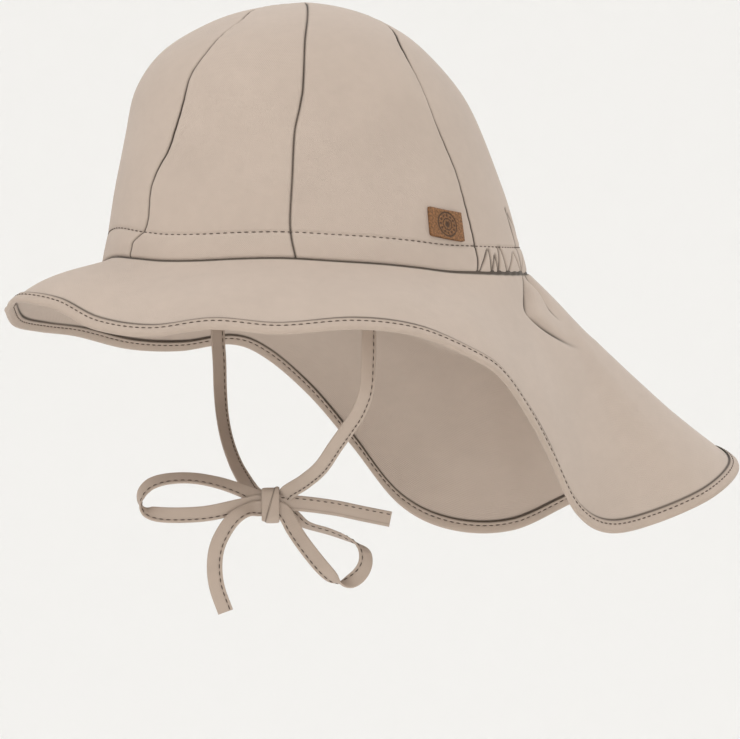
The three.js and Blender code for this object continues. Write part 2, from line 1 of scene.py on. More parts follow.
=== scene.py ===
import bpy
import numpy as np
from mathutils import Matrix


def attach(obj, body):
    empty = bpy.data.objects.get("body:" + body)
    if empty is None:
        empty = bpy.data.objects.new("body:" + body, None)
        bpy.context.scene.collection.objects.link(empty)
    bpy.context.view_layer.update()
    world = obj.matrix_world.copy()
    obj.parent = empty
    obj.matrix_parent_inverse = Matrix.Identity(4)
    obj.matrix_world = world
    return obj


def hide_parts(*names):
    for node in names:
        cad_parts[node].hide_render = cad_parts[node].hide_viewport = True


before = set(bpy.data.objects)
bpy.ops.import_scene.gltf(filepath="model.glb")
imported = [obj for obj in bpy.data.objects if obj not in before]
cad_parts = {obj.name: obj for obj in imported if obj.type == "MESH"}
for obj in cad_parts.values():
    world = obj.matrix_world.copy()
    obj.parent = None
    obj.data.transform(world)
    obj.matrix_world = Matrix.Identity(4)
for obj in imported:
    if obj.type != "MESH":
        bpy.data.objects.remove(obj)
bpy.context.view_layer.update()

# Crown
# Six gores of plain-woven cotton, sewn edge to edge and pressed. A casing is stitched round the foot
# of the crown, and its elastic draws the two back gores into gathers. Lengths are in millimetres.

BAND_HALF_WIDTH = 71.0
BAND_HALF_LENGTH = 88.0
CROWN_HEIGHT = 104.8
CROWN_CLOTH = 1.0
CASING_HEIGHT = 10.6
SEAM_SAG = 5.2
GATHER_DEPTH = 1.1
PLEAT_DEPTH = 1.1
BACK_CENTRE = 90.0

# Sections of the crown from its seam to its top: rise is a share of the crown's height, and front, back
# and side are shares of the band's half axes.
crown_rows = {
    "rise": [0, 0.10, 0.30, 0.50, 0.67, 0.81, 0.91, 0.97, 1.0],
    "front": [1, 0.975, 0.936, 0.884, 0.827, 0.706, 0.505, 0.305, 0.055],
    "back": [1, 0.964, 0.886, 0.779, 0.653, 0.491, 0.311, 0.129, -0.055],
    "side": [1, 0.975, 0.940, 0.900, 0.845, 0.730, 0.540, 0.330, 0],
}

# The three seams of the left half wander as sewn cloth does: angle in degrees at a section, both
# counted as in the rows above.
crown_seams = {
    "front": {
        "section": [0, 0.4, 0.7, 1.04, 1.3, 1.8, 2.16, 2.52, 2.94, 3.56, 4.16, 4.8, 5.4, 6, 7, 8],
        "angle": [-81, -80.8, -80.2, -76, -75, -75.5, -73.5, -70, -68.5, -67, -66.6, -63.4, -62.6, -64,
                  -78, -85],
    },
    "fore": {
        "section": [0, 0.84, 1.24, 1.98, 2.84, 3.32, 3.76, 5.04, 6, 8],
        "angle": [-27, -28.2, -28.5, -27.7, -26.7, -24.8, -23.2, -21.3, -21, -21],
    },
    "aft": {
        "section": [0, 0.36, 0.9, 1.3, 1.82, 2.3, 2.74, 3.2, 3.68, 4.14, 4.66, 5.22, 6, 7, 8],
        "angle": [26.7, 27.7, 28.2, 28.2, 27.5, 26.8, 25.3, 24.2, 24, 24.4, 25.8, 30.5, 47, 57, 61],
    },
}

# Creases of the gathers in the left back gore, which zigzag between the seam and the stitches: angle at
# the foot and at the top in degrees, and the top's height as a share of the casing's.
gather_creases = {
    "foot": [27.2, 33.2, 33.4, 36.6, 36.8, 41.8, 42.0, 53.2, 53.4, 62.0, 62.2, 70.0, 70.2, 77.0, 77.2,
             85.0, 85.2],
    "top": [33.8, 34.2, 36.4, 36.6, 39.9, 40.9, 49.2, 49.7, 64.0, 64.4, 67.8, 68.2, 73.8, 74.2, 81.8,
            82.2, 89.0],
    "height": [0.97, 0.97, 0.75, 0.75, 1.06, 1.06, 0.85, 0.85, 1.0, 1.0, 0.8, 0.8, 1.05, 1.05, 0.9, 0.9,
               1.0],
}

# The pleat above them is a narrow V: rise as a share of the crown's height, and the angle there.
pleat_lines = [
    {"rise": [0.0, 0.10, 0.202, 0.258], "angle": [53.8, 55.4, 55.6, 54.8], "depth": 1.0},
    {"rise": [0.12, 0.17, 0.204, 0.24], "angle": [67.0, 63.0, 59.0, 56.0], "depth": 0.6},
]


def through_rows(places, values, at):
    """Smooth curve through uneven rows. The slope at a row is that of the line from the row before it
    to the row after it, and between two rows the curve is the cubic with their values and slopes."""
    places = np.asarray(places, float)
    values = np.asarray(values, float)
    slope = np.empty_like(values)
    slope[1:-1] = (values[2:] - values[:-2]) / (places[2:] - places[:-2])
    slope[0] = (values[1] - values[0]) / (places[1] - places[0])
    slope[-1] = (values[-1] - values[-2]) / (places[-1] - places[-2])
    i = np.clip(np.searchsorted(places, at, side="right") - 1, 0, len(places) - 2)
    span = places[i + 1] - places[i]
    t = (at - places[i]) / span
    return (
        (2 * t**3 - 3 * t**2 + 1) * values[i]
        + (t**3 - 2 * t**2 + t) * span * slope[i]
        + (3 * t**2 - 2 * t**3) * values[i + 1]
        + (t**3 - t**2) * span * slope[i + 1]
    )


def hump(distance, half):
    """Bell curve: one in the middle, 1/e at the half width."""
    return np.exp(-((distance / half) ** 2))


def fade(value, start, end):
    """Three-minus-two-t cubic: one up to start, nought from end."""
    t = np.clip((value - start) / (end - start), 0, 1)
    return 1 - t * t * (3 - 2 * t)


def folded_left(angle):
    """Angle turned onto the left half, from -90 in front to 90 behind."""
    turned = (angle + 90) % 360 - 90
    return np.where(turned > BACK_CENTRE, 2 * BACK_CENTRE - turned, turned)


def crown_column(name, section):
    """One column of the crown's table, at a section counted in rows."""
    rows = np.arange(len(crown_rows["rise"]), dtype=float)
    return through_rows(rows, crown_rows[name], section)


def crown(section, angle):
    """Outer face of the crown, without its small folds. The plan at a section is an ellipse round the
    middle of the front and back reaches, and it sags with the seam towards its foot."""
    rise = crown_column("rise", section)
    front = crown_column("front", section) * BAND_HALF_LENGTH
    back = crown_column("back", section) * BAND_HALF_LENGTH
    wide = np.maximum(crown_column("side", section) * BAND_HALF_WIDTH, 0)
    long = (front + back) / 2
    turn = np.radians(angle)
    height = rise * CROWN_HEIGHT - seam_sag(angle) * (1 - rise)
    return np.stack([wide * np.cos(turn), (back - front) / 2 + long * np.sin(turn), height], -1)


def grid_normals(grid, ring=False):
    """Unit normals of a grid of points: the cross product of its steps along columns and rows."""
    if ring:
        across = np.roll(grid, -1, 0) - np.roll(grid, 1, 0)
    else:
        across = np.gradient(grid, axis=0)
    normal = np.cross(across, np.gradient(grid, axis=1))
    return normal / np.maximum(np.linalg.norm(normal, axis=-1, keepdims=True), 1e-9)


def cloth_mesh(name, faces, uv, painted_shade_and_stamp, ring=False):
    """Closed sheet between two grids of points (outer, inner), joined along every open edge. uv is the
    place on the cloth in metres. The last argument holds painted shade for each face: 1 in a seam or
    fold and 0 on open cloth; on the leather patch it holds the stamped mark instead."""
    outer, inner = faces
    wide, high = outer.shape[:2]
    count = wide * high
    points = np.concatenate([outer.reshape(-1, 3), inner.reshape(-1, 3)]) * 0.001
    columns = wide if ring else wide - 1
    i, j = np.meshgrid(np.arange(columns), np.arange(high - 1), indexing="ij")
    i, j = i.ravel(), j.ravel()
    corner_i = np.stack([i, i + 1, i + 1, i], -1)
    corner_j = np.stack([j, j, j + 1, j + 1], -1)
    place = (corner_i % wide) * high + corner_j
    quads = [place, place[:, ::-1] + count]
    places = [(corner_i, corner_j), (corner_i[:, ::-1], corner_j[:, ::-1])]

    def wall(a_i, a_j, b_i, b_j):
        a = (a_i % wide) * high + a_j
        b = (b_i % wide) * high + b_j
        quads.append(np.stack([b, a, a + count, b + count], -1))
        places.append((np.stack([b_i, a_i, a_i, b_i], -1), np.stack([b_j, a_j, a_j, b_j], -1)))

    c = np.arange(columns)
    zero = np.zeros_like(c)
    wall(c, zero, c + 1, zero)
    wall(c + 1, zero + high - 1, c, zero + high - 1)
    if not ring:
        r = np.arange(high - 1)
        zero = np.zeros_like(r)
        wall(zero, r + 1, zero, r)
        wall(zero + wide - 1, r, zero + wide - 1, r + 1)
    quads = np.concatenate(quads)
    corner_i = np.concatenate([p[0] for p in places])
    corner_j = np.concatenate([p[1] for p in places])
    mesh = bpy.data.meshes.new(name)
    mesh.from_pydata(points.tolist(), [], quads.tolist())
    layer = mesh.uv_layers.new(name="cloth")
    layer.data.foreach_set("uv", uv[corner_i.ravel(), corner_j.ravel()].astype(np.float32).ravel())
    shade = mesh.attributes.new("painted_shade_and_stamp", "FLOAT", "POINT")
    shade.data.foreach_set("value", np.concatenate([c.ravel() for c in painted_shade_and_stamp]).astype(np.float32))
    mesh.shade_smooth()
    mesh.set_sharp_from_angle(angle=np.radians(48))
    return mesh


def piece(name, mesh, material, slot, *nodes):
    """Object of a mesh with its material. It rides on the cap's one body and replaces CAD nodes."""
    made = bpy.data.objects.new(name, mesh)
    bpy.context.collection.objects.link(made)
    mesh.materials.append(material)
    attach(made, "root")
    if nodes:
        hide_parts(*nodes)
    return made


def linear(hex_colour):
    """sRGB hex colour as linear red, green, blue and alpha: the sRGB curve undone channel by channel."""
    channels = [int(hex_colour[k : k + 2], 16) / 255 for k in (1, 3, 5)]
    return [c / 12.92 if c <= 0.04045 else ((c + 0.055) / 1.055) ** 2.4 for c in channels] + [1]


def add(tree, kind, links=(), **settings):
    """Node of a kind. links are (input, socket or value), and settings are the node's own."""
    node = tree.nodes.new(kind)
    for name, value in settings.items():
        setattr(node, name, value)
    for name, value in links:
        if isinstance(value, bpy.types.NodeSocket):
            tree.links.new(value, node.inputs[name])
        else:
            node.inputs[name].default_value = value
    return node


def blank_material(name):
    """New material with an empty node tree."""
    material = bpy.data.materials.new(name)
    material.use_nodes = True
    material.node_tree.nodes.clear()
    return material, material.node_tree


def woven_cotton(name, colour, shade, thread, lift):
    """Plain-woven cotton: matt, with a soft bloom at grazing angles. thread is the spacing in metres.
    Warp and weft are two sine waves of the cloth's own coordinates, thicker and thinner by slubs.
    shade is a painted shade colour, mixed in along seams and folds by the mesh's attribute."""
    material, tree = blank_material(name)
    cloth = add(tree, "ShaderNodeUVMap", uv_map="cloth").outputs["UV"]
    place = add(tree, "ShaderNodeTexCoord").outputs["Object"]
    slubs = add(
        tree,
        "ShaderNodeTexNoise",
        [("Vector", cloth), ("Scale", 210.0), ("Detail", 2.0), ("Roughness", 0.55)],
    ).outputs["Fac"]
    bent = add(
        tree, "ShaderNodeVectorMath", [(0, cloth), (1, (1 / thread, 1 / thread, 0))], operation="MULTIPLY"
    ).outputs["Vector"]
    split = add(tree, "ShaderNodeSeparateXYZ", [("Vector", bent)])
    turn = 2 * np.pi
    warp = add(tree, "ShaderNodeMath", [(0, split.outputs["X"]), (1, turn)], operation="MULTIPLY")
    weft = add(tree, "ShaderNodeMath", [(0, split.outputs["Y"]), (1, turn)], operation="MULTIPLY")
    warp = add(tree, "ShaderNodeMath", [(0, warp.outputs[0])], operation="SINE").outputs[0]
    weft = add(tree, "ShaderNodeMath", [(0, weft.outputs[0])], operation="SINE").outputs[0]
    crossing = add(tree, "ShaderNodeMath", [(0, warp), (1, weft)], operation="MULTIPLY").outputs[0]
    height = add(
        tree, "ShaderNodeMath", [(0, crossing), (1, 0.35), (2, slubs)], operation="MULTIPLY_ADD"
    ).outputs[0]
    bump = add(
        tree,
        "ShaderNodeBump",
        [("Height", height), ("Strength", lift), ("Distance", 0.0003)],
    ).outputs["Normal"]
    wear = add(
        tree,
        "ShaderNodeTexNoise",
        [("Vector", place), ("Scale", 34.0), ("Detail", 3.0), ("Roughness", 0.5)],
    ).outputs["Fac"]
    wear = add(
        tree,
        "ShaderNodeMapRange",
        [("Value", wear), ("From Min", 0.3), ("From Max", 0.7), ("To Min", 0.965), ("To Max", 1.02)],
    ).outputs["Result"]
    threads = add(
        tree,
        "ShaderNodeMapRange",
        [("Value", height), ("From Min", 0.1), ("From Max", 0.9), ("To Min", 0.965), ("To Max", 1.03)],
    ).outputs["Result"]
    tone = add(tree, "ShaderNodeMath", [(0, wear), (1, threads)], operation="MULTIPLY").outputs[0]
    # Painted shade: the cloth's colour is mixed towards the shade colour where the attribute marks a seam
    # or fold.
    fold = add(tree, "ShaderNodeAttribute", attribute_name="painted_shade_and_stamp").outputs["Fac"]
    mixed = add(
        tree,
        "ShaderNodeMix",
        [("Factor", fold), (6, linear(colour)), (7, linear(shade))],
        data_type="RGBA",
    ).outputs[2]
    toned = add(
        tree, "ShaderNodeVectorMath", [(0, mixed), ("Scale", tone)], operation="SCALE"
    ).outputs["Vector"]
    shader = add(
        tree,
        "ShaderNodeBsdfPrincipled",
        [
            ("Base Color", toned),
            ("Roughness", 0.88),
            ("IOR", 1.47),
            ("Specular IOR Level", 0.28),
            ("Sheen Weight", 0.12),
            ("Sheen Roughness", 0.5),
            ("Normal", bump),
        ],
    )
    add(tree, "ShaderNodeOutputMaterial", [("Surface", shader.outputs[0])])
    return material


# The hem's rows from the front of the brim round the left to the back of the flap. out is a share of
# the sideways reach, along of the reach lengthwise, left and right of the drop, arch of the brim's
# arch and seam of the seam's sag.
hem_rows = {
    "angle": [-90, -77, -66, -54, -42, -30, -16, -4, 6, 16, 26, 36, 46, 55, 64, 72, 81, 90],
    "out": [0, 0.18, 0.36, 0.59, 0.75, 0.87, 0.96, 1, 0.98, 0.945, 0.83, 0.75, 0.70, 0.685, 0.757,
            0.92, 0.63, 0],
    "along": [-0.975, -0.892, -0.826, -0.74, -0.595, -0.44, -0.24, -0.075, 0.048, 0.046, 0.066, 0.084,
              0.142, 0.253, 0.445, 0.684, 0.912, 1],
    "left": [0.539, 0.648, 0.905, 1.01, 0.93, 0.99, 0.925, 1.01, 0.38, 0.45, 0.585, 0.737, 0.93, 1,
             0.964, 0.868, 0.756, 0.687],
    "right": [0.539, 0.615, 0.621, 0.754, 0.795, 0.825, 0.965, 0.975, 0.265, 0.32, 0.47, 0.664, 0.892,
              0.988, 0.988, 0.877, 0.74, 0.687],
    "arch": [1, 1, 1, 1, 1, 0.9, 0.9, 0.9, 1, 1.2, 1.4, 1.6, 1.6, 1.2, 0.5, -0.1, -0.6, -0.8],
    "seam": [-0.2, 0.05, 0.3, 0.35, 0.25, 0.22, 0.42, 0.58, 0.78, 1, 1, 0.95, 0.87, 0.75, 0.62, 0.52,
             0.4, 0.33],
}


def round_the_cap(left, right):
    """Rows of the left half, then the right half's back to front, with three rows more at each end so
    that the curve closes smoothly."""
    angle = np.array(hem_rows["angle"], float)
    places = np.concatenate([angle, 2 * BACK_CENTRE - angle[1:-1][::-1]])
    values = np.concatenate([left, right[1:-1][::-1]])
    return (
        np.concatenate([places[-3:] - 360, places, places[:3] + 360]),
        np.concatenate([values[-3:], values, values[:3]]),
    )


def seam_sag(angle):
    """How far the seam between crown and brim lies below the origin, round the cap."""
    sag = SEAM_SAG * np.array(hem_rows["seam"])
    return through_rows(*round_the_cap(sag, sag), (angle + 90) % 360 - 90)


def travelled(points):
    """Distance along a line of points, from its start to each point."""
    return np.concatenate([[0], np.cumsum(np.linalg.norm(np.diff(points, axis=0), axis=1))])


# Crown rows, measured up the cloth: close together at the seam and at the casing's stitches.
MERIDIAN_SECTION = np.linspace(0, 8, 4001)
meridian = crown(MERIDIAN_SECTION, np.full(4001, -2.0))
meridian_length = travelled(meridian)
crown_climb = np.unique(
    np.concatenate(
        [
            [0, 0.2, 0.45, 0.75, 1.1, 1.6],
            np.arange(2.2, 9.2, 0.7),
            np.arange(9.2, 12.2, 0.25),
            np.arange(12.2, 34, 0.7),
            np.linspace(34, meridian_length[-1] - 0.25, 74),
        ]
    )
)
crown_section = np.interp(crown_climb, meridian_length, MERIDIAN_SECTION)


def casing_climb(angle):
    """Height of the casing's stitches up the cloth. A bell 20 degrees wide lifts them 2.3 mm at the
    right of the front, at -103 degrees. Angles past 110 degrees are counted back from there."""
    turned = (angle + 90) % 360 - 90
    turned = turned - 360 * (turned > 110)
    return CASING_HEIGHT + 2.3 * hump(turned + 103, 20)


def small_folds(angle, climb):
    """Relief and painted shade of the gathers and the pleat. Each of their creases is a line over the
    cloth, 0.8 mm in half width in the relief and 0.55 mm in the painted shade. Between creases the gathered
    casing swells."""
    side = folded_left(angle)
    relief = np.zeros(side.shape)
    shade = np.zeros(side.shape)
    per_degree = np.radians(1) * np.hypot(
        BAND_HALF_WIDTH * np.sin(np.radians(side)), BAND_HALF_LENGTH * np.cos(np.radians(side))
    )
    drawn = fade(-side, -30, -25)
    for foot, top, height in zip(*gather_creases.values()):
        reach = height * CASING_HEIGHT
        line = (side - foot - (top - foot) * climb / reach) * per_degree
        along = fade(climb, reach - 1.4, reach + 0.3)
        relief = np.minimum(relief, -GATHER_DEPTH * hump(line, 0.8) * along)
        shade = np.maximum(shade, hump(line, 0.55) * along)
    relief = relief + 0.15 * drawn * np.sin(np.pi * np.clip(climb / CASING_HEIGHT, 0, 1)) ** 0.8
    rise = climb / CROWN_HEIGHT
    for fold in pleat_lines:
        first, last = fold["rise"][0], fold["rise"][-1]
        line = (side - through_rows(fold["rise"], fold["angle"], np.clip(rise, first, last))) * per_degree
        along = fade(rise, last - 0.012, last) * fade(-rise, -first - 0.03, 0.001 - first)
        deep = 0.45 + 0.55 * fade(-rise, 0.06 - last, 0.14 - last)
        relief = relief - PLEAT_DEPTH * fold["depth"] * along * deep * np.exp(-np.abs(line) / 1.3)
        shade = np.maximum(shade, 1.3 * fold["depth"] * hump(line, 1.0) * along * deep)
    return relief, shade


def crown_gore(name, seam_a, seam_b, columns):
    """One gore between two seam lines. Its columns lie closest at its edges. Each edge sinks in a bell
    0.75 mm wide towards the seam, the foot sinks the same way, the casing swells in half a sine wave
    and sinks at its stitches, and small waves pucker the cloth beside each seam."""
    t = np.linspace(0, 1, columns + 1)
    u = (t - 0.75 * np.sin(2 * np.pi * t) / (2 * np.pi))[:, None]
    section = crown_section[None, :]
    from_a = seam_a(section)
    to_b = seam_b(section)
    step = np.linalg.norm(crown(section, from_a) - crown(section, from_a + 1), axis=-1)
    inset = 0.04 / np.maximum(step, 0.05)
    inset = np.minimum(inset, 0.2 * (to_b - from_a))
    angle = from_a + inset + (to_b - from_a - 2 * inset) * u
    base = crown(section, angle)
    normal = grid_normals(base)
    across = np.concatenate(
        [np.zeros((1, base.shape[1])), np.cumsum(np.linalg.norm(np.diff(base, axis=0), axis=-1), axis=0)]
    )
    whole = across[-1:]
    climb = np.broadcast_to(crown_climb[None, :], across.shape)
    edge = np.minimum(across, whole - across)
    near_top = np.clip(whole / 9, 0, 1)
    stitched = casing_climb(angle)
    folds, fold_shade = small_folds(angle, climb)
    pucker = 0.10 * np.sin(climb * 1.25 + 2.2 * np.sin(climb / 17)) * np.exp(-edge / 3.2)
    ease = 0.22 * np.sin(climb / 13 + across / 21) + 0.16 * np.sin(climb / 7.5 - across / 15 + 1.7)
    settle = 1 - fade(climb, 12, 40) * 0.7
    from_seam = 1 - hump(edge, 2.2)
    relief = (
        near_top * (-0.6 * hump(edge, 0.75) + pucker * (1 - 0.6 * hump(edge, 0.8)) + ease * settle)
        - 0.75 * hump(climb, 0.65)
        + 0.25 * np.sin(np.pi * np.clip(climb / stitched, 0, 1))
        - 0.38 * hump(climb - stitched, 0.75)
        + folds * from_seam * (1 - 0.8 * hump(climb, 1.0))
    )
    outer = base + normal * relief[..., None]
    inner = outer - normal * CROWN_CLOTH
    # Painted shade: dark lines along each seam and along the foot, on both faces; the outer face adds the
    # painted shade of the gathers and the pleat.
    painted_seam_shade = np.maximum(0.95 * hump(edge, 0.42) * near_top, 0.95 * hump(climb, 0.4))
    painted_shade_and_stamp = np.clip(np.maximum(painted_seam_shade, fold_shade), 0, 1)
    uv = np.stack([across - whole / 2, climb], -1) * 0.001
    mesh = cloth_mesh(name, (outer, inner), uv, (painted_shade_and_stamp, painted_seam_shade))
    made = piece(name, mesh, cotton, "cotton_cloth", name.replace("sewn_", ""))


# Undyed-looking taupe poplin: matt, almost even in colour, its threads just visible close to. The
# threads are 0.45 mm apart in the real cloth and drawn 0.8 mm apart, so that they show.
# 43392f is the painted shade colour of seams and folds.
cotton = woven_cotton("taupe_cotton_poplin", "#bdada0", "#43392f", 0.0008, 0.35)


def seam(name, mirror=False):
    """Seam line of the crown: its angle at a section, on the left or mirrored to the right."""
    table = crown_seams[name]

    def at(section):
        angle = through_rows(table["section"], table["angle"], section)
        return 2 * BACK_CENTRE - angle if mirror else angle

    return at


def back_seam(section):
    """The centre back seam runs straight up."""
    return np.full(np.shape(section), BACK_CENTRE)


def front_seam_from_right(section):
    """The front seam reached from the right side."""
    return 360 + seam("front")(section)


crown_gore("sewn_crown_panel_front_left", seam("front"), seam("fore"), 84)
crown_gore("sewn_crown_panel_side_left", seam("fore"), seam("aft"), 84)
crown_gore("sewn_crown_panel_back_left", seam("aft"), back_seam, 290)
crown_gore("sewn_crown_panel_back_right", back_seam, seam("aft", True), 250)
crown_gore("sewn_crown_panel_side_right", seam("aft", True), seam("fore", True), 84)
crown_gore(
    "sewn_crown_panel_front_right", seam("fore", True), front_seam_from_right, 110
)

# Brim and neck flap
# One ring of the same cotton, short in front and long behind. It is sewn to the foot of the crown,
# and below the gathers it falls in a few soft folds towards the nape.

BRIM_REACH = 43.4
SIDE_REACH = 38.0
FLAP_REACH = 97.0
BRIM_DROP = 32.4
FLAP_DROP = 107.4
BRIM_ARCH = 3.2
BRIM_CLOTH = 0.7
FLAP_FOLD_DEPTH = 3.4
GATHER_PUFF = 2.0
# The middle of the part's cloth lies a gap and half the part's 1 mm cloth below the crown's foot.
SEAM_GAP = 0.3
SEAM_HALF_CLOTH = 0.5

# Folds of the flap: at which share of the way to the hem a fold crosses which angle in degrees, its
# half width in degrees, and its depth as a share of the folds'.
flap_folds = [
    {"share": [0, 0.07, 0.14, 0.17, 0.24, 0.33], "angle": [56.5, 52.8, 49.3, 49.8, 57.3, 68.5],
     "half": 3.2, "depth": 0.8},
    {"share": [0, 0.08, 0.16, 0.21], "angle": [60, 63.8, 63.6, 65.5], "half": 2.6, "depth": 0.55},
    {"share": [0, 0.17, 0.34], "angle": [84, 84, 82], "half": 3.6, "depth": 0.5},
]

hem_angle = np.array(hem_rows["angle"], float)
before_ears = hem_angle < 0
hem_drop = np.where(before_ears, BRIM_DROP, FLAP_DROP)
hem_x = BAND_HALF_WIDTH * np.cos(np.radians(hem_angle)) + SIDE_REACH * np.array(hem_rows["out"])
hem_y = BAND_HALF_LENGTH * np.sin(np.radians(hem_angle)) + np.where(
    before_ears, BRIM_REACH, FLAP_REACH
) * np.array(hem_rows["along"])
hem_curves = {
    "x": round_the_cap(hem_x, -hem_x),
    "y": round_the_cap(hem_y, hem_y),
    "z": round_the_cap(-hem_drop * np.array(hem_rows["left"]), -hem_drop * np.array(hem_rows["right"])),
    "arch": round_the_cap(*[BRIM_ARCH * np.array(hem_rows["arch"])] * 2),
}


def fold_line(fold, share, side):
    """How far along a fold a share of the way to the hem lies, from 0 at the seam to 1 at its end, and
    how far an angle is from the fold there."""
    way = np.minimum(share / fold["share"][-1], 1)
    return way, side - through_rows(fold["share"], fold["angle"], way * fold["share"][-1])


def brim(angle, share):
    """Middle of the brim's cloth. A straight line runs from the seam (share 0) to the hem (share 1).
    It is raised by the arch, a sine of share to the power 1.4, and sunk along each fold. Behind, it
    puffs up below the gathers in a sine of the square root of its share."""
    within = np.clip(share, 0, 1)
    seam_line = crown(np.zeros(np.shape(angle)), angle)
    seam_line[..., 2] -= SEAM_GAP + SEAM_HALF_CLOTH
    turned = (angle + 90) % 360 - 90
    hem = np.stack([through_rows(*hem_curves[c], turned) for c in "xyz"], -1)
    run = hem - seam_line
    level = np.hypot(run[..., 0], run[..., 1])
    rise = np.stack([-run[..., 2] * run[..., 0] / level, -run[..., 2] * run[..., 1] / level, level], -1)
    rise = rise / np.linalg.norm(run, axis=-1, keepdims=True)
    arch = through_rows(*hem_curves["arch"], turned) * np.sin(np.pi * within**1.4)
    side = folded_left(angle)
    sunk = np.zeros(np.shape(arch))
    for fold in flap_folds:
        way, line = fold_line(fold, within, side)
        bell = hump(line, fold["half"])
        sunk = sunk + fold["depth"] * FLAP_FOLD_DEPTH * np.sin(np.pi * way**0.6) * bell
    puff = GATHER_PUFF * (1 - fade(side, 45, 62)) * np.sin(np.pi * np.sqrt(np.minimum(within / 0.7, 1)))
    return seam_line + run * share[..., None] + rise * (arch + puff - sunk)[..., None]


def brim_normal(angle, share):
    """Upward normal of the brim, from small steps of a hundredth of a degree and a thousandth."""
    share = np.minimum(share, 0.999)
    across = brim(angle + 0.01, share) - brim(angle - 0.01, share)
    outward = brim(angle, share + 0.001) - brim(angle, share - 0.001)
    normal = np.cross(outward, across)
    return normal / np.linalg.norm(normal, axis=-1, keepdims=True)


def near_hem(angle, inset, raised):
    """Place on the brim an inset inside the finished hem, raised along its normal."""
    edge = np.ones(np.shape(angle))
    length = np.linalg.norm(brim(angle, 0 * edge) - brim(angle, edge), axis=-1)
    share = 1 - inset / length
    return brim(angle, share) + brim_normal(angle, share) * np.asarray(raised)[..., None]


# Columns go round the cap, closest behind, where the folds are. The last one meets the first in front.
brim_columns = np.concatenate(
    [
        np.linspace(-90, 24, 60, endpoint=False),
        np.linspace(24, 42, 24, endpoint=False),
        np.linspace(42, 74, 84, endpoint=False),
        np.linspace(74, 106, 40, endpoint=False),
        np.linspace(106, 138, 60, endpoint=False),
        np.linspace(138, 156, 20, endpoint=False),
        np.linspace(156, 270, 60, endpoint=False),
    ]
)
hem_columns = np.concatenate(
    [np.linspace(-90, 24, 170, endpoint=False), np.linspace(24, 156, 420, endpoint=False),
     np.linspace(156, 270, 170, endpoint=False)]
)


def sewn_brim():
    """Both faces of the brim and flap. Rows run from inside the binding to the seam, where the cloth
    rises in a bell 1.5 mm wide to the crown's foot, and 2 mm on behind it. Small puckers below the gathers
    die out in 4 mm. Each fold is a sharp groove that falls to 1/e in 1.8 mm and fades towards its end, and
    long shallow waves ease the open cloth. Painted shade darkens the seam, a line 5.5 mm inside the hem
    at the binding's edge, and the first two folds, fading towards their ends."""
    columns = brim_columns[:, None]
    flat = np.zeros(brim_columns.shape)
    length = np.linalg.norm(brim(brim_columns, flat) - brim(brim_columns, flat + 1), axis=-1)[:, None]
    close = np.array([-2, -1.4, -0.9, -0.4, 0, 0.3, 0.6, 1.0, 1.5, 2.1, 3.0, 4.2, 5.6, 7.2])[None, :]
    upper = np.minimum(44, 0.6 * length)
    middle_rows = 7.2 + (upper - 7.2) * np.linspace(0, 1, 65)[None, 1:]
    outer_rows = upper + (length - 7.0 - upper) * np.linspace(0, 1, 33)[None, 1:]
    hem_rows_in = length - np.array([6.5, 6.1, 5.8, 5.5, 5.2, 4.4, 3.0, 1.2])[None, :]
    close_rows = np.broadcast_to(close, (len(brim_columns), close.shape[1]))
    from_seam = np.concatenate([close_rows, middle_rows, outer_rows, hem_rows_in], 1)
    from_seam = from_seam[:, ::-1]
    share = from_seam / length
    angle = np.broadcast_to(columns, share.shape)
    middle = brim(angle, share)
    normal = brim_normal(angle, share)
    side = folded_left(angle)
    drawn = fade(-side, -34, -26)
    pleats = 0.12 * np.cos(np.radians(360 * side / 4.55 - 100)) * np.exp(-np.abs(from_seam) / 4)
    ease = 0.35 * np.sin(side / 9 + from_seam / 16) * np.clip(from_seam / 25, 0, 1)
    behind_crown = np.maximum(from_seam, 0)
    # Painted shade along the seam and along a line 5.5 mm inside the hem, at the binding's edge, on both
    # faces.
    painted_seam_shade = np.maximum(0.95 * hump(behind_crown, 0.35), 0.9 * hump(length - from_seam - 5.5, 0.42))
    painted_shade_and_stamp = painted_seam_shade
    sharp = np.zeros(share.shape)
    for fold in flap_folds[:2]:
        way, line = fold_line(fold, share, side)
        outward = np.gradient(line, axis=1) / np.gradient(from_seam, axis=1)
        per_degree = 1.4 + 0.012 * from_seam
        millimetres = line * per_degree / np.hypot(1, outward * per_degree)
        sharp = sharp + 1.2 * fold["depth"] * np.exp(-np.abs(millimetres) / 1.8) * fade(way, 0.5, 1.0)
        # Painted shade along the first two folds, fading towards their ends.
        dark = hump(millimetres, 0.7 + 0.3 * way) * fade(way, 0.7, 1.0)
        painted_shade_and_stamp = np.maximum(painted_shade_and_stamp, 1.4 * fold["depth"] * dark)
    relief = -0.2 * hump(from_seam, 0.9) + drawn * pleats + ease - sharp
    middle = middle + normal * relief[..., None]
    middle[..., 2] += 0.35 * hump(from_seam, 1.5)
    half = BRIM_CLOTH / 2
    around = travelled(middle[:, -1])
    around = np.concatenate([around, [around[-1] + np.linalg.norm(middle[0, -1] - middle[-1, -1])]])
    seam_length = np.concatenate([from_seam, from_seam[:1]])
    uv = np.stack([np.broadcast_to(around[:, None], seam_length.shape), seam_length], -1) * 0.001
    faces = (middle + normal * half, middle - normal * half)
    shade = (np.clip(painted_shade_and_stamp, 0, 1), painted_seam_shade)
    return cloth_mesh("sewn_brim_and_neck_flap", faces, uv, shade, ring=True)


flap = piece("sewn_brim_and_neck_flap", sewn_brim(), cotton, "cotton_cloth", "brim_and_neck_flap")

# Hem binding
# Bias tape of the same cotton, folded over the raw edge of brim and flap and stitched down once.

BINDING_CLOTH = 0.5
HEM_STITCH_INSET = 3.7


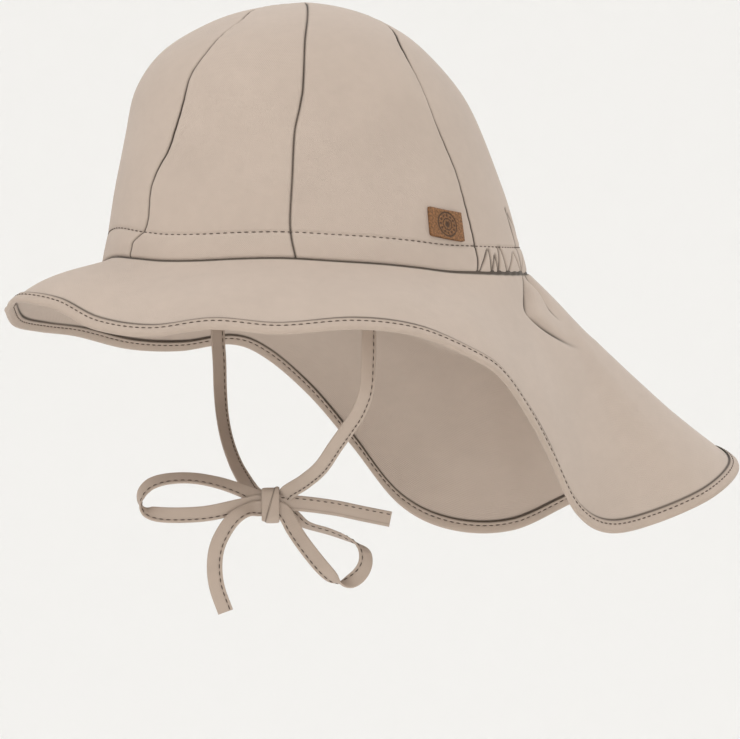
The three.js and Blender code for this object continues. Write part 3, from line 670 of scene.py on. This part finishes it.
def swept_mesh(name, rings, uv_along, uv_round, closed, painted_shade_and_stamp=None):
    """Tube through rings of points (rings, points, 3). It is closed into itself, or capped by a fan at
    each end. uv runs along and round the tube in metres."""
    count, size = rings.shape[:2]
    joins = count if closed else count - 1
    i, j = np.meshgrid(np.arange(joins), np.arange(size), indexing="ij")
    i, j = i.ravel(), j.ravel()
    corner_i = np.stack([i, i, i + 1, i + 1], -1)
    corner_j = np.stack([j, j + 1, j + 1, j], -1)
    quads = (corner_i % count) * size + corner_j % size
    faces = quads.tolist()
    uv = np.stack([uv_along[corner_i], uv_round[corner_j]], -1).reshape(-1, 2)
    if not closed:
        first = np.arange(size)[::-1]
        faces.append(first.tolist())
        faces.append((first[::-1] + (count - 1) * size).tolist())
        caps = np.stack([np.full(size, uv_along[0]), uv_round[first]], -1)
        ends = np.stack([np.full(size, uv_along[-1]), uv_round[first[::-1]]], -1)
        uv = np.concatenate([uv, caps, ends])
    mesh = bpy.data.meshes.new(name)
    mesh.from_pydata((rings.reshape(-1, 3) * 0.001).tolist(), [], faces)
    mesh.uv_layers.new(name="cloth").data.foreach_set("uv", uv.astype(np.float32).ravel())
    # The last argument is painted shade, stored as a point attribute for the tape's material.
    if painted_shade_and_stamp is not None:
        shade = mesh.attributes.new("painted_shade_and_stamp", "FLOAT", "POINT")
        shade.data.foreach_set("value", np.broadcast_to(painted_shade_and_stamp, rings.shape[:2]).astype(np.float32).ravel())
    mesh.shade_smooth()
    mesh.set_sharp_from_angle(angle=np.radians(60))
    return mesh


def hem_tape():
    """A U of two arms and a round fold, carried round the hem. Each arm swells between the fold and
    its stitches and sinks a little at them, and the tape's pull gives it a slight ripple."""
    near = BRIM_CLOTH / 2 + 0.03
    far = near + BINDING_CLOTH
    arm = np.array([5.4, 5.3, 5.1, 4.8, 4.4, 4.1, 3.9, 3.7, 3.5, 3.3, 2.9, 2.2, 1.5, 0.9])
    swell = 0.14 * np.sin(np.pi * np.clip(arm / HEM_STITCH_INSET, 0, 1))
    swell = swell - 0.16 * hump(arm - HEM_STITCH_INSET, 0.35)
    swell = swell - 0.25 * hump(arm - 5.4, 0.2)
    turn = np.linspace(75, -75, 7)
    fold_inset = far - far * np.cos(np.radians(turn)) + 0.1
    fold_raised = far * np.sin(np.radians(turn))
    inset = np.concatenate([arm, fold_inset, arm[::-1], [5.2, 0.9, 0.9, 5.2]])
    raised = np.concatenate(
        [far + swell, fold_raised, -(far + swell)[::-1], [-near, -near * 0.8, near * 0.8, near]]
    )
    angle = np.broadcast_to(hem_columns[:, None], (len(hem_columns), len(inset)))
    middle = near_hem(hem_columns, np.zeros(hem_columns.shape), np.zeros(hem_columns.shape))
    around = travelled(middle)
    ripple = 1 + 0.06 * np.sin(around * 2 * np.pi / 5.6)[:, None] * hump(inset - 2.4, 1.4)[None, :]
    rings = near_hem(angle, np.broadcast_to(inset, angle.shape), raised[None, :] * ripple)
    around = np.concatenate([around, [around[-1] + np.linalg.norm(middle[0] - middle[-1])]])
    profile = np.stack([inset, raised], -1)
    round_it = travelled(np.concatenate([profile, profile[:1]]))
    # Painted shade: a dark line at the tape's inner edge, 5.4 mm inside the hem.
    painted_shade_and_stamp = 0.95 * hump(inset - 5.4, 0.5)
    return swept_mesh("folded_hem_binding", rings, around * 0.001, round_it * 0.001, True, painted_shade_and_stamp)


# The tape is the same cotton cut on the bias, a shade darker where it lies double.
# 43392f is the painted shade colour along the tape's edge, the ties' stitches and the knot's step.
bias_tape = woven_cotton("taupe_cotton_bias_tape", "#b8a799", "#43392f", 0.0008, 0.3)
binding = piece("folded_hem_binding", hem_tape(), bias_tape, "cotton_tape", "hem_binding")

# Chin ties
# Two flat tapes of folded cotton, stitched along one edge and sewn in at the sides of the band. They
# cross in the knot, turn back as the two loops of the bow and end in two short tails.

TIE_THICKNESS = 1.0
KNOT_PLACE = np.array([0.0, -20.0, -96.0])
BOW_TURN = np.radians(27)
across_bow = np.array([np.sin(BOW_TURN), np.cos(BOW_TURN), 0])
out_of_bow = np.array([np.cos(BOW_TURN), -np.sin(BOW_TURN), 0])
upwards = np.array([0.0, 0.0, 1.0])

# Routes from the band through the knot to the free end, in millimetres from the knot: across the bow,
# out of its face and up, with the tape's lean about its own run in degrees.
left_tie = {
    "across": [39.3, 39.6, 39.4, 39.1, 38.9, 38.0, 34.9, 31.1, 25.8, 20.2, 13.6, 7.0, 3.8, -3.8, -11.0,
               -21.0, -31.3, -40.9, -47.4, -50.6, -51.6, -51.1, -48.6, -43.0, -33.1, -24.0, -12.9,
               -3.8, 3.8, 12.4, 25.6, 36.3, 47.7],
    "toward": [55.1, 55.7, 55.9, 55.6, 55.0, 52.0, 46.0, 40.0, 31.0, 21.0, 11.0, 3.5, -0.65, -0.65,
               -2.2, -3.2, -3.4, -3.0, -2.2, -1.4, -0.6, 0.2, 1.0, 1.6, 2.0, 2.0, 1.4, 0.65, 0.65,
               1.2, 1.6, 1.8, 2.0],
    "up": [100.0, 91.0, 79.0, 67.0, 55.4, 43.5, 35.4, 29.7, 22.4, 14.5, 9.0, 5.0, 2.4, 2.4, 5.5, 8.8,
           10.6, 10.3, 8.4, 5.4, 2.1, -0.7, -2.9, -4.0, -4.1, -3.3, -0.9, 0.9, 0.9, 0.4, -1.3, -3.5,
           -5.8],
    "lean": [-27, -27, -27, -27, -26, -24, -22, -20, -18, -14, -8, -3, 0, 0, 32, 44, 48, 46, 42, 48,
             66, 96, 138, 168, 178, 180, 180, 180, 180, 186, 190, 190, 186],
}
right_tie = {
    "across": [-21.5, -21.8, -22.2, -22.8, -22.1, -21.6, -20.5, -18.2, -14.5, -10.3, -8.7, -7.4, -5.8,
               -3.8, 3.8, 7.8, 14.1, 23.6, 30.0, 34.7, 37.5, 37.6, 35.4, 31.6, 28.0, 24.6, 19.7, 13.3,
               9.0, 6.3, 3.8, -3.8, -9.3, -14.8, -19.2, -21.5, -22.1, -21.0, -17.7],
    "toward": [-64.2, -64.8, -64.9, -64.6, -64.0, -60.5, -53.0, -42.0, -30.0, -18.0, -10.0, -4.9, -2.4,
               -1.95, -1.95, -2.3, -3.2, -3.2, -3.0, -2.4, -1.6, -0.8, 0.0, 0.8, 1.6, 2.2, 2.6, 2.8,
               2.7, 2.3, 1.95, 1.95, 4.6, 4.8, 4.2, 3.6, 3.0, 3.0, 3.0],
    "up": [100.0, 91.0, 81.0, 71.2, 59.1, 46.3, 36.0, 26.0, 16.5, 9.3, 7.0, 5.3, 3.8, 2.3, -1.2, -3.9,
           -7.9, -10.8, -13.3, -15.9, -19.2, -23.6, -27.7, -30.6, -31.2, -28.9, -23.9, -15.8, -9.4,
           -4.4, -1.9, -1.5, -2.3, -5.9, -12.3, -18.4, -25.9, -33.4, -42.6],
    "lean": [-27, -27, -27, -27, -30, -34, -38, -38, -34, -20, -10, -4, 0, 0, 0, 14, 62, 70, 78, 96,
             136, 156, 176, 212, 262, 318, 350, 360, 360, 360, 360, 360, 394, 380, 366, 360, 360, 360,
             360],
}


def tie_path(route, steps):
    """Centre line of a tie and the directions of its width and thickness. The line is the smooth curve
    through the route's points, and the width is square to the run and leans as the route says."""
    points = (
        KNOT_PLACE
        + np.outer(route["across"], across_bow)
        + np.outer(route["toward"], out_of_bow)
        + np.outer(route["up"], upwards)
    )
    along = travelled(points)
    at = np.linspace(0, along[-1], steps)
    line = np.stack([through_rows(along, points[:, k], at) for k in range(3)], -1)
    lean = np.radians(through_rows(along, route["lean"], at))[:, None]
    run = np.gradient(line, axis=0)
    run = run / np.linalg.norm(run, axis=1, keepdims=True)
    flat = np.cross(out_of_bow, run)
    flat = flat / np.linalg.norm(flat, axis=1, keepdims=True)
    width = flat * np.cos(lean) + np.cross(run, flat) * np.sin(lean)
    return line, width, np.cross(run, width)


def tie_mesh(name, route, steps):
    """A flat section 6.2 mm wide, carried along the tie: two layers with a round fold at one edge and
    a thin doubled edge at the other, sunk a little along the stitches."""
    line, width, thick = tie_path(route, steps)
    a = np.array([3.1, 3.02, 2.7, 2.2, 1.9, 1.6, 0.8, -0.6, -2.0, -2.75, -3.05, -3.1])
    swell = np.array([0.16, 0.34, 0.44, 0.42, 0.36, 0.42, 0.5, 0.5, 0.5, 0.45, 0.28, 0.12])
    a = np.concatenate([a, a[::-1]])
    b = np.concatenate([swell, -swell[::-1]]) * TIE_THICKNESS
    rings = line[:, None] + width[:, None] * a[None, :, None] + thick[:, None] * b[None, :, None]
    along = travelled(line)
    steps_round = np.hypot(np.diff(np.append(a, a[0])), np.diff(np.append(b, b[0])))
    round_it = np.concatenate([[0], np.cumsum(steps_round)])
    # Painted shade: a faint dark line 1.9 mm off the middle, along the stitches where the tape sinks.
    painted_shade_and_stamp = 0.25 * hump(a - 1.9, 0.25)
    return swept_mesh(name, rings, along * 0.001, round_it * 0.001, False, painted_shade_and_stamp)


def add_tie(name, route, steps, node):
    """One tie, with its centre line and its length in metres."""
    made = piece(name, tie_mesh(name, route, steps), bias_tape, "cotton_tape", node)
    line = tie_path(route, steps)[0] * 0.001
    length = float(np.linalg.norm(np.diff(line, axis=0), axis=1).sum())
    return made, line, length


folded_tie_left, left_line, left_length = add_tie("folded_tie_left", left_tie, 420, "chin_tie_left")
folded_tie_right, right_line, right_length = add_tie("folded_tie_right", right_tie, 460, "chin_tie_right")

# Bow knot
# The turn of tape that holds the bow, pulled snug round the strands.

KNOT_HALF_LENGTH = 3.5
KNOT_HALF_DEPTH = 3.55
KNOT_HALF_HEIGHT = 6.9


def knot_mesh():
    """A rounded oblong ring, carried across the bow. Its rims turn in towards the strands and its
    middle swells. One edge of the wrapped tape shows as a smooth step along a slanted line."""
    turn = np.linspace(0, 2 * np.pi, 96, endpoint=False)
    cos, sin = np.cos(turn), np.sin(turn)
    unit = np.stack([np.sign(cos) * np.abs(cos) ** 0.62, np.sign(sin) * np.abs(sin) ** 0.62], -1)
    outside = np.linspace(-1, 1, 41)
    place = np.concatenate([outside, [0.94, 0.8, 0, -0.8, -0.94]])
    wall = np.concatenate([0.92 - 0.35 * np.abs(outside) ** 8, [0.28, 0.1, 0.0, 0.1, 0.28]])
    swell = np.concatenate([0.45 * (1 - outside**2), np.zeros(5)])
    half_depth = KNOT_HALF_DEPTH - 0.85 + wall + swell * 0.6
    half_height = KNOT_HALF_HEIGHT - 0.85 + wall + swell * 0.3
    toward = unit[None, :, 0] * half_depth[:, None]
    up = unit[None, :, 1] * half_height[:, None]
    across = np.broadcast_to((place * KNOT_HALF_LENGTH)[:, None], toward.shape)
    slant = across * 0.8 - up * 0.22
    step = 0.30 * np.tanh(slant / 0.35) * (np.arange(len(place)) < 41)[:, None]
    toward = toward + unit[None, :, 0] * step
    up = up + unit[None, :, 1] * step
    rings = (
        KNOT_PLACE
        + across[..., None] * across_bow
        + toward[..., None] * out_of_bow
        + up[..., None] * upwards
    )
    # Painted shade along the slanted step at the wrapped tape's edge.
    painted_shade_and_stamp = 0.7 * hump(slant + 0.1, 0.22) * (np.arange(len(place)) < 41)[:, None]
    along = np.append(np.cumsum(np.full(len(place), 0.2)), 9.4) * 0.001
    girth = np.linspace(0, 40, 97) * 0.001
    return swept_mesh("wrapped_bow_knot", rings[::-1], along, girth, True, painted_shade_and_stamp[::-1])


knot = piece("wrapped_bow_knot", knot_mesh(), bias_tape, "cotton_tape", "bow_knot")

# Leather patch
# A small rectangle of vegetable-tanned leather, glued flat above the casing near the aft seam. A plain
# rosette of rings and dots is pressed into it and darkened by the heat of the stamp.

PATCH_WIDTH = 17.2
PATCH_HEIGHT = 11.5
PATCH_LEATHER = 1.1
PATCH_ANGLE = 17.6
PATCH_TILT = np.radians(-5.2)
PATCH_CLIMB = CASING_HEIGHT + 2.0 + PATCH_HEIGHT / 2


def rosette(a, b):
    """How deep the stamp goes: a disc 1.2 mm in radius inside two rings, with twelve round dots
    between them. Each edge is a smooth step about 0.1 mm wide."""
    far = np.hypot(a, b)
    turn = np.arctan2(b, a)
    disc = 1 / (1 + np.exp((far - 1.2) / 0.08))
    inner_ring = 1 / (1 + np.exp((np.abs(far - 2.2) - 0.25) / 0.06))
    outer_ring = 1 / (1 + np.exp((np.abs(far - 4.6) - 0.32) / 0.06))
    dot_turn = (turn / (2 * np.pi) * 12 + 0.5) % 1 - 0.5
    dot_side = dot_turn * 2 * np.pi / 12 * far
    dots = 1 / (1 + np.exp((np.hypot(far - 3.4, dot_side) - 0.5) / 0.06))
    return np.clip(disc + inner_ring + outer_ring + dots, 0, 1)


def patch_mesh():
    """The crown's own surface, raised by the leather, over a rectangle with corners 1 mm round. The
    top edge rolls off in a quarter circle, and the stamp is 0.25 mm deep."""
    columns, rows = 150, 100
    u = np.linspace(-1, 1, columns + 1)[:, None]
    v = np.linspace(-1, 1, rows + 1)[None, :]
    a = u * PATCH_WIDTH / 2 * (1 - 0.028 * np.abs(v) ** 14)
    b = v * PATCH_HEIGHT / 2 * (1 - 0.04 * np.abs(u) ** 20)
    edge = np.minimum(PATCH_WIDTH / 2 - np.abs(a), PATCH_HEIGHT / 2 - np.abs(b))
    section = np.interp(PATCH_CLIMB, meridian_length, MERIDIAN_SECTION)
    degree_apart = crown(section, np.array([PATCH_ANGLE, PATCH_ANGLE + 1]))
    per_degree = np.linalg.norm(degree_apart[1] - degree_apart[0])
    across = a * np.cos(PATCH_TILT) - b * np.sin(PATCH_TILT)
    climb = a * np.sin(PATCH_TILT) + b * np.cos(PATCH_TILT)
    sections = np.interp(PATCH_CLIMB + climb, meridian_length, MERIDIAN_SECTION)
    base = crown(sections, PATCH_ANGLE + across / per_degree)
    normal = grid_normals(base)
    mark = rosette(a, b)
    top = PATCH_LEATHER - 0.35 * np.exp(-np.clip(edge, 0, None) / 0.22) - 0.25 * mark
    outer = base + normal * (0.25 + top)[..., None]
    inner = base + normal * 0.12
    uv = np.stack([a, b], -1) * 0.001
    return cloth_mesh("stamped_leather_patch", (outer, inner), uv, (mark, 0 * mark))


def stamped_leather():
    """Vegetable-tanned leather: warm brown, mottled, with a fine pebbled grain and a soft shine. The
    stamped mark is darker."""
    material, tree = blank_material("vegetable_tanned_leather")
    place = add(tree, "ShaderNodeUVMap", uv_map="cloth").outputs["UV"]
    mottle = add(
        tree,
        "ShaderNodeTexNoise",
        [("Vector", place), ("Scale", 1300.0), ("Detail", 3.0), ("Roughness", 0.75)],
    ).outputs["Fac"]
    grain = add(
        tree, "ShaderNodeTexVoronoi", [("Vector", place), ("Scale", 2200.0)], feature="F1"
    ).outputs["Distance"]
    mottle = add(
        tree,
        "ShaderNodeMapRange",
        [("Value", mottle), ("From Min", 0.34), ("From Max", 0.66), ("To Min", 0.0), ("To Max", 1.0)],
    ).outputs["Result"]
    tone = add(
        tree,
        "ShaderNodeMix",
        [("Factor", mottle), (6, linear("#4f3119")), (7, linear("#9c6c40"))],
        data_type="RGBA",
    ).outputs[2]
    mark = add(tree, "ShaderNodeAttribute", attribute_name="painted_shade_and_stamp").outputs["Fac"]
    mark = add(tree, "ShaderNodeMath", [(0, mark), (1, 0.85)], operation="MULTIPLY").outputs[0]
    stamped = add(
        tree, "ShaderNodeMix", [("Factor", mark), (6, tone), (7, linear("#3a2513"))], data_type="RGBA"
    ).outputs[2]
    bump = add(
        tree, "ShaderNodeBump", [("Height", grain), ("Strength", 0.45), ("Distance", 0.0002)]
    ).outputs["Normal"]
    shader = add(
        tree,
        "ShaderNodeBsdfPrincipled",
        [("Base Color", stamped), ("Roughness", 0.58), ("IOR", 1.5), ("Normal", bump)],
    )
    add(tree, "ShaderNodeOutputMaterial", [("Surface", shader.outputs[0])])
    return material


piece("stamped_leather_patch", patch_mesh(), stamped_leather(), "patch_leather", "leather_patch")

# Stitches
# Lockstitches in taupe cotton thread, darker than the cloth: one row round the top of the casing, one
# along the inner edge of the binding, and one along an edge of each tie.

STITCH_PITCH = 2.8
STITCH_LENGTH = 1.9
THREAD_RADIUS = 0.24


def stitch_row(line, normal, closed):
    """Stitches along a line on the cloth. Each is a short bead: its radius is the square root of a
    parabola along its length, six-sided, lying on the cloth and a little sunk at both ends."""
    along = travelled(line)
    count = int(along[-1] // STITCH_PITCH)
    pitch = along[-1] / count
    start = (np.arange(count) + (0 if closed else 0.2)) * pitch
    t = np.array([0.0, 0.12, 0.35, 0.65, 0.88, 1.0])
    at = start[:, None] + t * STITCH_LENGTH
    centre = np.stack([np.interp(at, along, line[:, k]) for k in range(3)], -1)
    out = np.stack([np.interp(at, along, normal[:, k]) for k in range(3)], -1)
    run = np.gradient(centre, axis=1)
    run = run / np.linalg.norm(run, axis=-1, keepdims=True)
    side = np.cross(out, run)
    side = side / np.linalg.norm(side, axis=-1, keepdims=True)
    radius = THREAD_RADIUS * np.sqrt(np.clip(4 * t * (1 - t), 0.02, 1))
    turn = np.linspace(0, 2 * np.pi, 6, endpoint=False)
    offset = side[:, :, None] * np.cos(turn)[:, None] + out[:, :, None] * np.sin(turn)[:, None]
    lift = out * (0.12 - 0.2 * (2 * t - 1) ** 4)[None, :, None]
    return (centre + lift)[:, :, None] + offset * radius[None, :, None, None]


def stitches_mesh(name, rows):
    """All stitches of a piece as one mesh, each closed by a fan at both ends."""
    beads = np.concatenate(rows)
    count, rings, sides = beads.shape[:3]
    base = np.arange(count)[:, None, None] * rings * sides
    i, j = np.meshgrid(np.arange(rings - 1), np.arange(sides), indexing="ij")
    here, beside = i * sides + j, i * sides + (j + 1) % sides
    quad = np.stack([here, beside, beside + sides, here + sides], -1)
    quads = (base[..., None] + quad.reshape(1, -1, 1, 4)).reshape(-1, 4)
    ends = np.stack([np.arange(sides)[::-1], np.arange(sides) + (rings - 1) * sides])
    caps = (base + ends[None]).reshape(-1, sides)
    mesh = bpy.data.meshes.new(name)
    mesh.from_pydata((beads.reshape(-1, 3) * 0.001).tolist(), [], quads.tolist() + caps.tolist())
    mesh.shade_smooth()
    return mesh


def cotton_thread():
    """Twisted cotton thread: matt and dark taupe, with fine diagonal strands 0.2 mm apart."""
    material, tree = blank_material("dark_taupe_cotton_thread")
    place = add(tree, "ShaderNodeTexCoord").outputs["Object"]
    twist = add(
        tree,
        "ShaderNodeTexWave",
        [("Vector", place), ("Scale", 1500.0), ("Distortion", 1.5)],
        bands_direction="DIAGONAL",
    ).outputs["Fac"]
    tone = add(
        tree,
        "ShaderNodeMix",
        [("Factor", twist), (6, linear("#4a4038")), (7, linear("#6b5d52"))],
        data_type="RGBA",
    ).outputs[2]
    bump = add(
        tree, "ShaderNodeBump", [("Height", twist), ("Strength", 0.3), ("Distance", 0.0001)]
    ).outputs["Normal"]
    shader = add(
        tree,
        "ShaderNodeBsdfPrincipled",
        [("Base Color", tone), ("Roughness", 0.8), ("Normal", bump)],
    )
    add(tree, "ShaderNodeOutputMaterial", [("Surface", shader.outputs[0])])
    return material


thread = cotton_thread()

round_angles = np.linspace(-90, 270, 2001)
casing_section = np.interp(casing_climb(round_angles), meridian_length, MERIDIAN_SECTION)
casing_line = crown(casing_section, round_angles)
casing_side = crown(casing_section, round_angles + 0.02) - crown(casing_section, round_angles - 0.02)
casing_up = crown(casing_section + 0.002, round_angles) - crown(casing_section - 0.002, round_angles)
casing_out = np.cross(casing_side, casing_up)
casing_out = casing_out / np.linalg.norm(casing_out, axis=1, keepdims=True)
inside = casing_line - casing_out * (CROWN_CLOTH + 0.35)
casing_rows = [
    stitch_row(casing_line - casing_out * 0.35, casing_out, True),
    stitch_row(inside, -casing_out, True),
]
piece("casing_stitches", stitches_mesh("casing_stitches", casing_rows), thread, "cotton_tape")

hem_raised = BRIM_CLOTH / 2 + 0.03 + BINDING_CLOTH
one = np.ones(2001)
hem_up = brim_normal(round_angles, 1 - HEM_STITCH_INSET / 60 * one)
hem_rows_sewn = [
    stitch_row(near_hem(round_angles, HEM_STITCH_INSET * one, (hem_raised - 0.1) * one), hem_up, True),
    stitch_row(near_hem(round_angles, HEM_STITCH_INSET * one, (0.1 - hem_raised) * one), -hem_up, True),
]
piece("binding_stitches", stitches_mesh("binding_stitches", hem_rows_sewn), thread, "cotton_tape")

# The stitches lie along one edge of each tie. The left tie is turned over in the knot, 51 mm before its
# end, so that its stitches run along the other edge of its tail.
tie_rows = []
for route, steps, turned_over in ((left_tie, 420, 51), (right_tie, 460, None)):
    line, width, thick = tie_path(route, steps)
    edge = np.full((len(line), 1), 1.9)
    if turned_over:
        to_end = travelled(line[::-1])[::-1]
        edge = edge * (1 - 2 * fade(to_end, turned_over - 2, turned_over + 2)[:, None])
    for face in (thick, -thick):
        tie_rows.append(stitch_row(line + width * edge + face * 0.38, face, False))
piece("tie_stitches", stitches_mesh("tie_stitches", tie_rows), thread, "cotton_tape")

# Studio
# A pale floor far below that curves up into a backdrop, an even white sky, a large soft key light and
# a camera with a long lens, slightly below the band.


def studio_floor():
    """Floor of revolution: flat to 5 m, then a quarter circle of 4 m radius up to a wall."""
    sides = 96
    turn = np.linspace(0, 2 * np.pi, sides, endpoint=False)
    bend = np.linspace(0, np.pi / 2, 24)
    radius = np.concatenate([[0.001, 2.5], 5 + 4 * np.sin(bend), [9]])
    height = np.concatenate([[0, 0], 4 - 4 * np.cos(bend), [7]]) - 0.95
    points = np.stack(
        [
            radius[None] * np.cos(turn)[:, None],
            radius[None] * np.sin(turn)[:, None],
            np.broadcast_to(height, (sides, len(height))),
        ],
        -1,
    )
    rows = len(radius)
    i, j = np.meshgrid(np.arange(sides), np.arange(rows - 1), indexing="ij")
    here = (i * rows + j).ravel()
    beside = ((i + 1) % sides * rows + j).ravel()
    quads = np.stack([here, here + 1, beside + 1, beside], -1)
    mesh = bpy.data.meshes.new("studio_floor")
    mesh.from_pydata(points.reshape(-1, 3).tolist(), [], quads.tolist())
    mesh.shade_smooth()
    return mesh


paper = bpy.data.materials.new("white_backdrop_paper")
paper.use_nodes = True
paper.node_tree.nodes["Principled BSDF"].inputs["Base Color"].default_value = linear("#f4f3f1")
paper.node_tree.nodes["Principled BSDF"].inputs["Roughness"].default_value = 0.9
floor = bpy.data.objects.new("studio_floor", studio_floor())
floor.data.materials.append(paper)
bpy.context.collection.objects.link(floor)

sky = bpy.data.worlds.new("studio_sky")
sky.use_nodes = True
sky.node_tree.nodes["Background"].inputs["Color"].default_value = (1, 1, 1, 1)
sky.node_tree.nodes["Background"].inputs["Strength"].default_value = 1.1
bpy.context.scene.world = sky
bpy.context.scene.view_settings.view_transform = "Standard"


def soft_light(name, place, size, power):
    """Square area light that faces the cap."""
    lamp = bpy.data.lights.new(name, "AREA")
    lamp.size = size
    lamp.energy = power
    made = bpy.data.objects.new(name, lamp)
    bpy.context.collection.objects.link(made)
    facing = np.array([0, 0, -0.03]) - np.array(place)
    z = -facing / np.linalg.norm(facing)
    x = np.cross([0, 0, 1], z)
    x = x / np.linalg.norm(x)
    y = np.cross(z, x)
    turned = np.eye(4)
    turned[:3, 0], turned[:3, 1], turned[:3, 2], turned[:3, 3] = x, y, z, place
    made.matrix_world = turned.T.tolist()


# The camera faces the bow, so the studio uses the bow's directions.
soft_light("key_light", out_of_bow * 1.6 - across_bow * 1.4 + upwards * 1.9, 1.6, 13)
soft_light("fill_light", out_of_bow * 2.4 + across_bow * 0.5 - upwards * 0.5, 1.6, 9)
soft_light("rim_light", -out_of_bow * 1.8 + across_bow * 1.6 + upwards * 1.5, 1.2, 7)

lens = bpy.data.cameras.new("long_lens")
lens.lens = 268.2
lens.sensor_width = 36
lens.clip_end = 60
camera = bpy.data.objects.new("long_lens", lens)
bpy.context.collection.objects.link(camera)
aside = across_bow * 0.0217
eye = aside + out_of_bow * 2.2 - upwards * 0.107
target = aside - upwards * 0.042
look = (target - eye) / np.linalg.norm(target - eye)
right = np.cross(look, upwards)
right = right / np.linalg.norm(right)
placed = np.eye(4)
placed[:3, 0], placed[:3, 1], placed[:3, 2], placed[:3, 3] = right, np.cross(right, look), -look, eye
camera.matrix_world = placed.T.tolist()
bpy.context.scene.camera = camera
